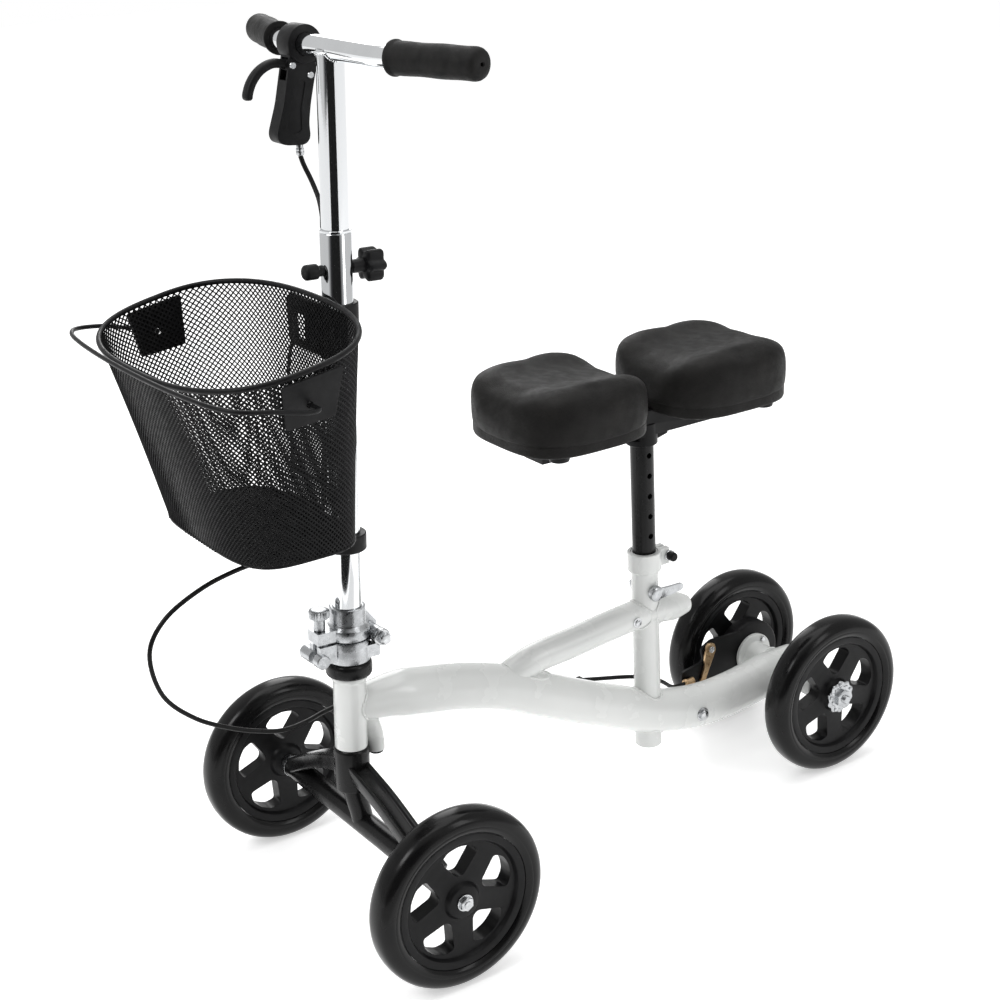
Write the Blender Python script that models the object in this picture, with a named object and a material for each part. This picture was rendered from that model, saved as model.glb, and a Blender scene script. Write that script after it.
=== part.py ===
"""Knee scooter: four wheels, steering front axle, folding stem, basket and a pair of knee pads.

Metres, +Z up, forward is -Y and the rider's left is +X. The origin lies on the floor, under the
middle of the scooter's bounding box. Lengths inside the model are measured from the front axle,
so every world Y is shifted by FRONT_AXLE_Y.
"""
import math

import bmesh
import bpy
from mathutils import Matrix, Vector

GAP = 0.0003                      # clearance between neighbouring pieces
FRONT_AXLE_Y = -0.24835           # world Y of the front axle
WHEELBASE = 0.618
WHEEL_RADIUS = 0.100
TYRE_HALF_WIDTH = 0.0183
RIM_RADIUS = 0.076
HUB_HALF_WIDTH = 0.0145
HUB_BORE = 0.0064
FRONT_TRACK_HALF = 0.188
REAR_TRACK_HALF = 0.0914

STEM_FOOT_Y = -0.0165             # where the steering axis meets the floor
STEM_LEAN = math.radians(2.474)   # lean towards the rider
SEAT_FOOT_Y = 0.4038              # where the seat post's axis meets the floor
SEAT_LEAN = math.radians(-0.854)

HEAD_TUBE_RADIUS = 0.0178
STEERER_RADIUS = 0.0125
STEM_OUTER_RADIUS = 0.0159
STEM_OUTER_BORE = 0.0142
STEM_INNER_RADIUS = 0.0139
STEM_TOP = 0.7597
BAR_RADIUS = 0.0111
BAR_HEIGHT = 0.9355
BAR_Y = 0.0239
BAR_STRAIGHT = 0.090              # from the middle to the bend's corner
BAR_SWEPT = 0.121
BAR_SWEEP = math.radians(16)
GRIP_RADIUS = 0.0155
GRIP_START = 0.019                # from the bend's corner
GRIP_LENGTH = 0.1055
KNOB_HEIGHT = 0.723

FOLD_PIN_Y = 0.026                # hinge pin, measured behind the stem's axis
FOLD_PIN_H = 0.329
CLAMP_Y = -0.034                  # fold clamp, in front of the stem's axis

MAIN_TUBE_RADIUS = 0.0255
BRACE_RADIUS = 0.0175
SEAT_TUBE_RADIUS = 0.016
SEAT_TUBE_BORE = 0.0142
SEAT_POST_RADIUS = 0.0138
SEAT_PIN_H = 0.270
POST_HOLES = (0.3405, 0.3655, 0.3905, 0.4155, 0.4405)
SLEEVE_RADIUS = 0.017
BEAM_RADIUS = 0.013
YOKE_RADIUS = 0.0195

RIM_WIRE = 0.0028
BAIL_WIRE = 0.0023
CABLE_RADIUS = 0.0025
CABLE_STEP = 0.0175
BASKET_WALL = 0.0025
BASKET_FLOOR = 0.4745
# Outlines: half width, back, widest point, front, and how square the back and the front are.
BASKET_MOUTH = (0.1672, -0.0125, -0.1034, -0.2116, 2.4, 2.7)
BASKET_BASE = (0.1143, -0.0245, -0.0902, -0.1598, 3.4, 4.0)
BASKET_FLARE = math.radians(14.4)
BAIL_PIVOT = (-0.112, 0.648)
BAIL_PLATE_X = 0.1612

PAD_LENGTH = 0.176
PAD_WIDTH = 0.178
PAD_BOTTOM = 0.4998
PAD_HEIGHT = 0.062
PAD_CHANNEL = 0.010               # how far the middle of a pad lies below its sides
PAD_FRONT_Y = 0.281
PAD_REAR_Y = 0.4845

BRAKE_PIVOT = (0.010, 0.916)      # brake lever's pivot, side view
ARM_PIVOT = (0.545, 0.128)        # brake arm's pivot, side view

COLOURS = {
    "white_paint": ((0.86, 0.87, 0.86), 0.28, 0.0),
    "black_paint": ((0.03, 0.03, 0.032), 0.38, 0.0),
    "black_plastic": ((0.025, 0.025, 0.027), 0.5, 0.0),
    "rubber": ((0.02, 0.02, 0.02), 0.45, 0.0),
    "tyre": ((0.015, 0.015, 0.016), 0.3, 0.0),
    "chrome": ((0.8, 0.81, 0.82), 0.08, 1.0),
    "steel": ((0.6, 0.61, 0.62), 0.3, 1.0),
    "brass": ((0.72, 0.5, 0.3), 0.35, 1.0),
    "leather": ((0.03, 0.03, 0.03), 0.55, 0.0),
}


# ---------------------------------------------------------------- scene helpers

def clear_scene():
    for item in list(bpy.data.objects):
        bpy.data.objects.remove(item, do_unlink=True)


def material_for(name, look):
    colour, roughness, metallic = COLOURS[look]
    material = bpy.data.materials.new(name + "_material")
    material.use_nodes = True
    shader = material.node_tree.nodes["Principled BSDF"]
    shader.inputs["Base Color"].default_value = (*colour, 1.0)
    shader.inputs["Roughness"].default_value = roughness
    shader.inputs["Metallic"].default_value = metallic
    material.diffuse_color = (*colour, 1.0)
    return material


def add_empty(name, y, lean):
    """An axis that rises from the floor at y, leaning towards the rider."""
    empty = bpy.data.objects.new(name, None)
    bpy.context.scene.collection.objects.link(empty)
    empty.location = (0.0, FRONT_AXLE_Y + y, 0.0)
    empty.rotation_euler = (-lean, 0.0, 0.0)
    return empty


def add_object(name, mesh, look, parent=None, location=(0.0, 0.0, 0.0), rotation=(0.0, 0.0, 0.0)):
    obj = bpy.data.objects.new(name, mesh)
    bpy.context.scene.collection.objects.link(obj)
    if parent:
        obj.parent = parent
    obj.location = location
    obj.rotation_euler = rotation
    if look is None:
        obj.hide_render = True
        obj.display_type = "WIRE"
        return obj
    if not mesh.materials:
        mesh.materials.append(None)
    obj.material_slots[0].link = "OBJECT"
    obj.material_slots[0].material = material_for(name, look)
    return obj


def mesh_from(name, bm, sharp_angle=40.0):
    bmesh.ops.recalc_face_normals(bm, faces=bm.faces)
    mesh = bpy.data.meshes.new(name)
    bm.to_mesh(mesh)
    bm.free()
    mesh.shade_smooth()
    mesh.set_sharp_from_angle(angle=math.radians(sharp_angle))
    return mesh


def boolean(obj, other, operation="DIFFERENCE"):
    modifier = obj.modifiers.new(operation.title(), "BOOLEAN")
    modifier.operation = operation
    modifier.solver = "EXACT"
    modifier.object = other


def evaluated_mesh(obj, name):
    """The object's mesh with its modifiers applied; the object itself is removed."""
    graph = bpy.context.evaluated_depsgraph_get()
    mesh = bpy.data.meshes.new_from_object(obj.evaluated_get(graph))
    mesh.name = name
    bpy.data.objects.remove(obj, do_unlink=True)
    return mesh


# ---------------------------------------------------------------- shapes

def bridge(bm, first, second, closed=True):
    count = len(first)
    for i in range(count if closed else count - 1):
        j = (i + 1) % count
        bm.faces.new((first[i], first[j], second[j], second[i]))


def lathe(name, profile, segments=24, closed=False, axis="Z"):
    """Turn (radius, height) points about an axis. A closed profile makes a ring."""
    bm = bmesh.new()
    rings = []
    for radius, height in profile:
        ring = []
        for i in range(segments):
            angle = 2 * math.pi * i / segments
            ring.append(bm.verts.new((radius * math.cos(angle), radius * math.sin(angle), height)))
        rings.append(ring)
    for first, second in zip(rings, rings[1:]):
        bridge(bm, first, second)
    if closed:
        bridge(bm, rings[-1], rings[0])
    else:
        bm.faces.new(rings[0])
        bm.faces.new(rings[-1])
    if axis == "X":
        bmesh.ops.rotate(bm, verts=bm.verts, matrix=Matrix.Rotation(math.pi / 2, 3, "Y"))
    if axis == "Y":
        bmesh.ops.rotate(bm, verts=bm.verts, matrix=Matrix.Rotation(-math.pi / 2, 3, "X"))
    return mesh_from(name, bm)


def ring_profile(inner, outer, low, high, edge=0.0008):
    """Rectangular ring section with small outer chamfers."""
    return [(inner, low), (outer - edge, low), (outer, low + edge),
            (outer, high - edge), (outer - edge, high), (inner, high)]


def rod_profile(radius, low, high, edge=0.0008):
    return [(radius - edge, low), (radius, low + edge), (radius, high - edge), (radius - edge, high)]


def smooth_path(points, steps, closed=False):
    """Points along a Catmull-Rom curve through the given ones."""
    points = [Vector(p) for p in points]
    count = len(points)
    path = []
    for i in range(count if closed else count - 1):
        if closed:
            a, b, c, d = (points[(i + k) % count] for k in (-1, 0, 1, 2))
        else:
            b, c = points[i], points[i + 1]
            a = points[i - 1] if i > 0 else b + (b - c)
            d = points[i + 2] if i + 2 < count else c + (c - b)
        for step in range(steps):
            t = step / steps
            path.append(0.5 * (2 * b + (c - a) * t + (2 * a - 5 * b + 4 * c - d) * t * t
                               + (3 * b - 3 * c + d - a) * t ** 3))
    if not closed:
        path.append(points[-1])
    return path


def evenly_spaced(path, step):
    """The path's points again, about a step apart along it, with both ends kept."""
    lengths = [0.0]
    for first, second in zip(path, path[1:]):
        lengths.append(lengths[-1] + (second - first).length)
    count = max(round(lengths[-1] / step), 2)
    points = []
    index = 0
    for i in range(count + 1):
        target = lengths[-1] * i / count
        while index < len(path) - 2 and lengths[index + 1] < target:
            index += 1
        share = (target - lengths[index]) / (lengths[index + 1] - lengths[index])
        points.append(path[index].lerp(path[index + 1], share))
    return points


def section_frames(path, closed, side):
    """Origin, side and up vectors of a cross-section at each point of the path."""
    frames = []
    count = len(path)
    for i, point in enumerate(path):
        before = path[i - 1] if (i > 0 or closed) else path[i]
        after = path[(i + 1) % count] if (i + 1 < count or closed) else path[i]
        along = (after - before).normalized()
        across = (side - along * side.dot(along)).normalized()
        frames.append((point, across, along.cross(across).normalized()))
    return frames


def round_section(radius, sides):
    step = 2 * math.pi / sides
    return [(radius * math.cos(step * i), radius * math.sin(step * i)) for i in range(sides)]


def add_rings(bm, frames, sections):
    rings = []
    for (point, across, up), section in zip(frames, sections):
        rings.append([bm.verts.new(point + across * a + up * b) for a, b in section])
    return rings


def sweep(name, path, sections, closed=False, side=(1, 0, 0), bores=None, close_end=True):
    """Loft sections along a path. With bores the tube is hollow and open at its start."""
    path = [Vector(p) for p in path]
    frames = section_frames(path, closed, Vector(side))
    bm = bmesh.new()
    outer = add_rings(bm, frames, sections)
    for first, second in zip(outer, outer[1:]):
        bridge(bm, first, second)
    if closed:
        bridge(bm, outer[-1], outer[0])
    elif bores is None:
        bm.faces.new(outer[0])
        bm.faces.new(outer[-1])
    else:
        inner_frames = frames[:-1] if close_end else frames
        inner = add_rings(bm, inner_frames, bores)
        for first, second in zip(inner, inner[1:]):
            bridge(bm, first, second)
        bridge(bm, outer[0], inner[0])
        if close_end:
            bm.faces.new(outer[-1])
            bm.faces.new(inner[-1])
        else:
            bridge(bm, outer[-1], inner[-1])
    return mesh_from(name, bm)


def swept_tube(name, path, radii, sides=20, wall=None, close_end=True):
    sections = [round_section(radius, sides) for radius in radii]
    bores = None
    if wall:
        bores = [round_section(max(radius - wall, 0.002), sides) for radius in radii]
    return sweep(name, path, sections, bores=bores, close_end=close_end)


def box(name, low, high, bevel=0.0, segments=1):
    bm = bmesh.new()
    corners = [(x, y, z) for x in (low[0], high[0]) for y in (low[1], high[1]) for z in (low[2], high[2])]
    verts = [bm.verts.new(corner) for corner in corners]
    for face in ((0, 1, 3, 2), (4, 6, 7, 5), (0, 4, 5, 1), (2, 3, 7, 6), (0, 2, 6, 4), (1, 5, 7, 3)):
        bm.faces.new([verts[i] for i in face])
    if bevel:
        bmesh.ops.bevel(bm, geom=bm.edges[:], offset=bevel, segments=segments, affect="EDGES")
    return mesh_from(name, bm)


def prism(name, outline, low, high):
    """Side-view outline of (y, z) points, extruded along X."""
    bm = bmesh.new()
    near = [bm.verts.new((low, y, z)) for y, z in outline]
    far = [bm.verts.new((high, y, z)) for y, z in outline]
    bridge(bm, near, far)
    bm.faces.new(near)
    bm.faces.new(far)
    return mesh_from(name, bm)


def cutter(name, mesh, parent=None, location=(0.0, 0.0, 0.0)):
    return add_object(name, mesh, None, parent, location)


def from_axle(x, y, z):
    return (x, FRONT_AXLE_Y + y, z)


def shifted(points):
    return [Vector(from_axle(*point)) for point in points]


# ---------------------------------------------------------------- wheels

# Brake drum against the hub's inner face: a disc and a rim that opens towards the frame.
DRUM_PROFILE = [(0.0075, 0.0148), (0.0372, 0.0148), (0.0380, 0.0156), (0.0380, 0.0330), (0.0350, 0.0330),
                (0.0350, 0.0180), (0.0075, 0.0180)]


def rim_mesh():
    """Five-spoke rim: hub, web and ring, with five rounded windows cut through the web."""
    hub, ring, web = HUB_HALF_WIDTH, 0.0145, 0.0085
    profile = [(HUB_BORE, -hub), (0.0170, -hub), (0.0195, -web), (0.0650, -web), (0.0670, -ring),
               (RIM_RADIUS - 2 * GAP, -ring), (RIM_RADIUS - 2 * GAP, ring), (0.0670, ring), (0.0650, web),
               (0.0195, web), (0.0170, hub), (HUB_BORE, hub)]
    rim = add_object("rim_blank", lathe("rim_blank", profile, 20, closed=True, axis="X"), "black_paint")
    window = bmesh.new()
    outline = [(0.0285, -9), (0.0285, 9), (0.055, 24.5), (0.0600, 21), (0.0615, 7), (0.0615, -7),
               (0.0600, -21), (0.055, -24.5)]
    for i in range(5):
        middle = math.radians(90 + 72 * i)
        sides = []
        for x in (-0.02, 0.02):
            ring_points = []
            for radius, degrees in outline:
                angle = middle + math.radians(degrees)
                ring_points.append(window.verts.new((x, radius * math.cos(angle),
                                                     radius * math.sin(angle))))
            sides.append(ring_points)
        bridge(window, sides[0], sides[1])
        window.faces.new(sides[0])
        window.faces.new(sides[1])
    windows = cutter("rim_windows", mesh_from("rim_windows", window))
    boolean(rim, windows)
    mesh = evaluated_mesh(rim, "rim")
    bpy.data.objects.remove(windows, do_unlink=True)
    mesh.shade_smooth()
    mesh.set_sharp_from_angle(angle=math.radians(40))
    return mesh


def tyre_mesh():
    profile = [(RIM_RADIUS, -0.0150), (0.0840, -TYRE_HALF_WIDTH), (0.0950, -0.0150),
               (WHEEL_RADIUS, -0.0050), (WHEEL_RADIUS, 0.0050), (0.0950, 0.0150), (0.0840, TYRE_HALF_WIDTH),
               (RIM_RADIUS, 0.0150)]
    return lathe("tyre", profile, 36, closed=True, axis="X")


def build_wheels():
    rim, tyre = rim_mesh(), tyre_mesh()
    places = {
        "front_left": (FRONT_TRACK_HALF, 0.0), "front_right": (-FRONT_TRACK_HALF, 0.0),
        "rear_left": (REAR_TRACK_HALF, WHEELBASE), "rear_right": (-REAR_TRACK_HALF, WHEELBASE),
    }
    for place, (x, y) in places.items():
        location = from_axle(x, y, WHEEL_RADIUS)
        add_object("tyre_" + place, tyre, "tyre", location=location)
        add_object("rim_" + place, rim, "black_paint", location=location)
    drum = lathe("brake_drum", DRUM_PROFILE, 20, closed=True, axis="X")
    add_object("brake_drum", drum, "steel", location=from_axle(-REAR_TRACK_HALF, WHEELBASE, WHEEL_RADIUS))


# ---------------------------------------------------------------- frame

MAIN_TUBE_ROUTE = [(0.009, 0.2440), (0.038, 0.2430), (0.057, 0.2410), (0.095, 0.2330), (0.135, 0.2240),
                   (0.190, 0.2060), (0.243, 0.1800), (0.300, 0.1520), (0.360, 0.1250), (0.400, 0.1080),
                   (0.453, 0.0940), (0.500, 0.0885), (0.551, 0.0910), (0.595, 0.0975), (0.640, 0.1040)]
BRACE_ROUTE = [(0.192, 0.2120), (0.215, 0.2210), (0.240, 0.2280), (0.285, 0.2310), (0.343, 0.2365),
               (0.400, 0.2400), (0.440, 0.2360), (0.462, 0.2325)]


def main_tube_path(spread=0.0):
    path = shifted([(0.0, y, z) for y, z in MAIN_TUBE_ROUTE])
    radii = []
    for point in path:
        y = point.y - FRONT_AXLE_Y
        taper = min(max((y - 0.009) / 0.050, 0.0), 1.0)
        radii.append(0.0205 + (MAIN_TUBE_RADIUS + 0.0010 - 0.0205) * taper + spread)
    radii[-1] -= 0.006
    return path, radii


def build_frame(stem_axis, seat_axis):
    path, radii = main_tube_path()
    main_tube = add_object("main_tube", swept_tube("main_tube", path, radii, 14, wall=0.002), "white_paint")
    path, radii = main_tube_path(GAP)
    main_tool = cutter("main_tube_tool", swept_tube("main_tube_tool", path, radii, 14))

    head = [(0.0131, 0.1980), (0.0170, 0.1980), (0.0178, 0.1988), (0.0178, 0.2770), (0.0195, 0.2790),
            (0.0195, 0.2837), (0.0131, 0.2837)]
    add_object("head_tube", lathe("head_tube", head, 20, closed=True), "white_paint", stem_axis)
    head_tool = cutter("head_tube_tool", lathe("head_tube_tool", [(0.0181, 0.15), (0.0181, 0.30)], 20),
                       stem_axis)
    boolean(main_tube, head_tool)

    seat_tool = cutter("seat_tube_tool",
                       lathe("seat_tube_tool", [(SEAT_TUBE_RADIUS + GAP, 0.03),
                                                (SEAT_TUBE_RADIUS + GAP, 0.33)], 20), seat_axis)
    boolean(main_tube, seat_tool)
    sleeve_tool = cutter("sleeve_tool",
                         lathe("sleeve_tool", [(SLEEVE_RADIUS + GAP, -0.06), (SLEEVE_RADIUS + GAP, 0.06)],
                               20, axis="X"), location=from_axle(0.0, WHEELBASE, WHEEL_RADIUS))
    boolean(main_tube, sleeve_tool)

    path = shifted([(0.0, y, z) for y, z in BRACE_ROUTE])
    radii = [BRACE_RADIUS] * (len(path) - 1) + [0.0110]
    brace = add_object("upper_brace", swept_tube("upper_brace", path, radii, 12, wall=0.002), "white_paint")
    boolean(brace, main_tool)
    boolean(brace, seat_tool)

    seat_tube = [(SEAT_TUBE_BORE, 0.0640), (SEAT_TUBE_RADIUS, 0.0640), (SEAT_TUBE_RADIUS, 0.3180),
                 (SEAT_TUBE_BORE, 0.3180)]
    tube = add_object("seat_tube", lathe("seat_tube", seat_tube, 20, closed=True), "white_paint", seat_axis)
    nut = cutter("seat_pin_nut_tool",
                 lathe("seat_pin_nut", [(0.0075, -0.0235), (0.0085, -0.0225), (0.0085, -0.0152)], 12,
                       axis="X"), seat_axis, (0.0, 0.0, SEAT_PIN_H))
    boolean(tube, nut, "UNION")

    build_seat_clamp(seat_axis)

    bolt = [(0.0040, -0.0060), (0.0040, 0.0), (0.0085, 0.0), (0.0085, 0.0030), (0.0055, 0.0055)]
    head = add_object("main_tube_bolt", lathe("main_tube_bolt", bolt, 16, axis="X"), "steel",
                      location=from_axle(0.0265, 0.467, 0.0915))
    bolt_hole = cutter("main_tube_bolt_tool",
                       lathe("main_tube_bolt_tool", [(0.0043, -0.012), (0.0043, 0.004)], 16, axis="X"),
                       location=head.location)
    boolean(main_tube, bolt_hole)
    head.location.x += GAP

    upper_race = ring_profile(0.0131, 0.0250, 0.2840, 0.3010, 0.0020)
    add_object("headset_bearing", lathe("headset_bearing", upper_race, 24, closed=True), "black_plastic",
               stem_axis)


def build_seat_clamp(seat_axis):
    """Collar round the top of the seat tube, split at the rear between two ears."""
    collar = add_object("seat_clamp",
                        lathe("seat_clamp", ring_profile(SEAT_TUBE_RADIUS + GAP, 0.0202, 0.2950, 0.3185),
                              20, closed=True), "white_paint", seat_axis)
    ears = cutter("seat_clamp_ears", box("seat_clamp_ears", (-0.0085, 0.0170, 0.2965),
                                         (0.0085, 0.0390, 0.3170), 0.003), seat_axis)
    boolean(collar, ears, "UNION")
    slot = cutter("seat_clamp_slot",
                  box("seat_clamp_slot", (-0.0015, 0.0100, 0.28), (0.0015, 0.0500, 0.33)), seat_axis)
    boolean(collar, slot)
    hole = cutter("seat_clamp_hole",
                  lathe("seat_clamp_hole", [(0.0033, -0.02), (0.0033, 0.02)], 12, axis="X"), seat_axis,
                  (0.0, 0.0300, 0.3070))
    boolean(collar, hole)
    bolt = [(0.0060, -0.0150), (0.0060, -0.0088), (0.0030, -0.0088), (0.0030, 0.0088), (0.0065, 0.0088),
            (0.0065, 0.0110), (0.0050, 0.0115), (0.0050, 0.0190), (0.0042, 0.0200)]
    add_object("seat_clamp_bolt", lathe("seat_clamp_bolt", bolt, 12, axis="X"), "black_plastic", seat_axis,
               (0.0, 0.0300, 0.3070))


def build_rear_axle():
    centre = from_axle(0.0, WHEELBASE, WHEEL_RADIUS)
    sleeve = [(0.0068, -0.0530), (0.0270, -0.0530), (0.0270, -0.0480), (SLEEVE_RADIUS, -0.0460),
              (SLEEVE_RADIUS, 0.0705), (0.0150, 0.0720), (0.0068, 0.0720), (0.0068, 0.0600),
              (0.0140, 0.0580), (0.0140, -0.0340), (0.0068, -0.0360)]
    add_object("rear_axle_sleeve", lathe("rear_axle_sleeve", sleeve, 20, closed=True, axis="X"),
               "white_paint", location=centre)
    axle = [(0.0070, -0.1190), (0.0085, -0.1180), (0.0085, -0.1110), (0.0110, -0.1105), (0.0110, -0.1070),
            (0.0060, -0.1070), (0.0060, 0.1070), (0.0190, 0.1070), (0.0190, 0.1100), (0.0120, 0.1115),
            (0.0105, 0.1160), (0.0060, 0.1165), (0.0060, 0.1210), (0.0050, 0.1220)]
    add_object("rear_axle", lathe("rear_axle", axle, 16, axis="X"), "steel", location=centre)

    cover = [(0.0070, -0.0570), (0.0070, -0.0534), (0.0410, -0.0534), (0.0430, -0.0550), (0.0430, -0.0720),
             (0.0405, -0.0720), (0.0405, -0.0570)]
    shell = add_object("brake_cover", lathe("brake_cover", cover, 20, closed=True, axis="X"), "black_paint",
                       location=centre)
    lug = [(0.600, 0.1360), (0.548, 0.1380), (0.532, 0.1300), (0.536, 0.1120), (0.500, 0.1060),
           (0.500, 0.0820), (0.545, 0.0800), (0.600, 0.0700)]
    outline = [(y - WHEELBASE, z - WHEEL_RADIUS) for y, z in lug]
    plate = cutter("brake_lug", prism("brake_lug", outline, -0.0570, -0.0534), location=centre)
    boolean(shell, plate, "UNION")
    bore = cutter("brake_bore", lathe("brake_bore", [(0.0072, -0.08), (0.0072, -0.04)], 20, axis="X"),
                  location=centre)
    boolean(shell, bore)

    anchor = rod_profile(0.0055, 0.5000, 0.5140)
    mesh = lathe("cable_anchor", [(radius, y - 0.5000) for radius, y in anchor], 12, axis="Y")
    add_object("cable_anchor", mesh, "brass", location=from_axle(-0.0476, 0.5000, 0.0940))

    pivot_y, pivot_z = ARM_PIVOT
    arm = [(0.0085, 0.0), (0.006, 0.0062), (0.0, 0.0085), (-0.006, 0.0062), (-0.0085, 0.0),
           (-0.0105, -0.0250), (-0.0180, -0.0420), (-0.0100, -0.0440), (-0.0020, -0.0260),
           (0.0075, -0.0060)]
    add_object("brake_arm", prism("brake_arm", arm, -0.0531, -0.0490), "brass",
               location=from_axle(0.0, pivot_y, pivot_z))


# ---------------------------------------------------------------- front axle

def build_front_axle(stem_axis):
    steerer = [(0.0105, 0.1520), (STEERER_RADIUS, 0.1520), (STEERER_RADIUS, 0.3260), (0.0105, 0.3260)]
    add_object("steerer", lathe("steerer", steerer, 20, closed=True), "steel", stem_axis)

    centre = from_axle(0.0, 0.0, WHEEL_RADIUS)
    tool = [(BEAM_RADIUS + GAP, -0.20), (BEAM_RADIUS + GAP, 0.20)]
    beam_tool = cutter("beam_tool", lathe("beam_tool", tool, 20, axis="X"), location=centre)
    beam = [(0.0106, -0.1585), (BEAM_RADIUS, -0.1585), (BEAM_RADIUS, 0.1585), (0.0106, 0.1585)]
    add_object("fork_beam", lathe("fork_beam", beam, 20, closed=True, axis="X"), "black_paint",
               location=centre)

    crown = [(0.0170, 0.1480), (YOKE_RADIUS, 0.1505), (YOKE_RADIUS, 0.1950), (0.0178, 0.1977)]
    yoke = add_object("fork_yoke", lathe("fork_yoke", crown, 24), "black_paint", stem_axis)
    post_path = shifted([(0.0, -0.0110, 0.1620), (0.0, -0.0080, 0.1400), (0.0, -0.0030, 0.1180),
                         (0.0, 0.0, 0.1000)])
    post = cutter("yoke_post", swept_tube("yoke_post", post_path, [0.0120] * 4, 20))
    boolean(yoke, post, "UNION")
    boolean(yoke, beam_tool)
    bore = cutter("yoke_bore",
                  lathe("yoke_bore", [(STEERER_RADIUS + GAP, 0.1517), (STEERER_RADIUS + GAP, 0.21)], 20),
                  stem_axis)
    boolean(yoke, bore)

    yoke_tool = cutter("yoke_tool",
                       lathe("yoke_tool", [(YOKE_RADIUS + GAP, 0.14), (YOKE_RADIUS + GAP, 0.20)], 24),
                       stem_axis)
    section = [(-0.0110, -0.0085), (0.0110, -0.0085), (0.0125, 0.0020), (0.0125, 0.0085), (0.0085, 0.0085),
               (0.0060, 0.0040), (-0.0060, 0.0040), (-0.0085, 0.0085), (-0.0125, 0.0085), (-0.0125, 0.0020)]
    for place, sign in (("left", 1), ("right", -1)):
        path = shifted([(sign * x, y, z) for x, y, z in
                        ((0.0110, -0.0092, 0.1738), (0.0600, -0.0065, 0.1560), (0.1050, -0.0035, 0.1330),
                         (0.1500, 0.0, 0.1080))])
        outline = section if sign > 0 else [(-a, b) for a, b in section]
        arm = add_object("fork_arm_" + place, sweep("fork_arm", path, [outline] * 4, side=(0, 1, 0)),
                         "black_paint")
        boolean(arm, beam_tool)
        boolean(arm, yoke_tool)
        profile = [(0.0080, 0.1400), (0.0103, 0.1410), (0.0103, 0.1588), (0.0135, 0.1588), (0.0135, 0.1640),
                   (0.0115, 0.1680), (0.0085, 0.1732), (0.0060, 0.1732), (0.0060, 0.2029), (0.0085, 0.2029),
                   (0.0085, 0.2045), (0.0070, 0.2050), (0.0070, 0.2090), (0.0060, 0.2100)]
        outward = [(radius, sign * x) for radius, x in profile]
        add_object("front_axle_" + place, lathe("front_axle", outward, 12, axis="X"), "steel",
                   location=centre)


# ---------------------------------------------------------------- fold hinge

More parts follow.
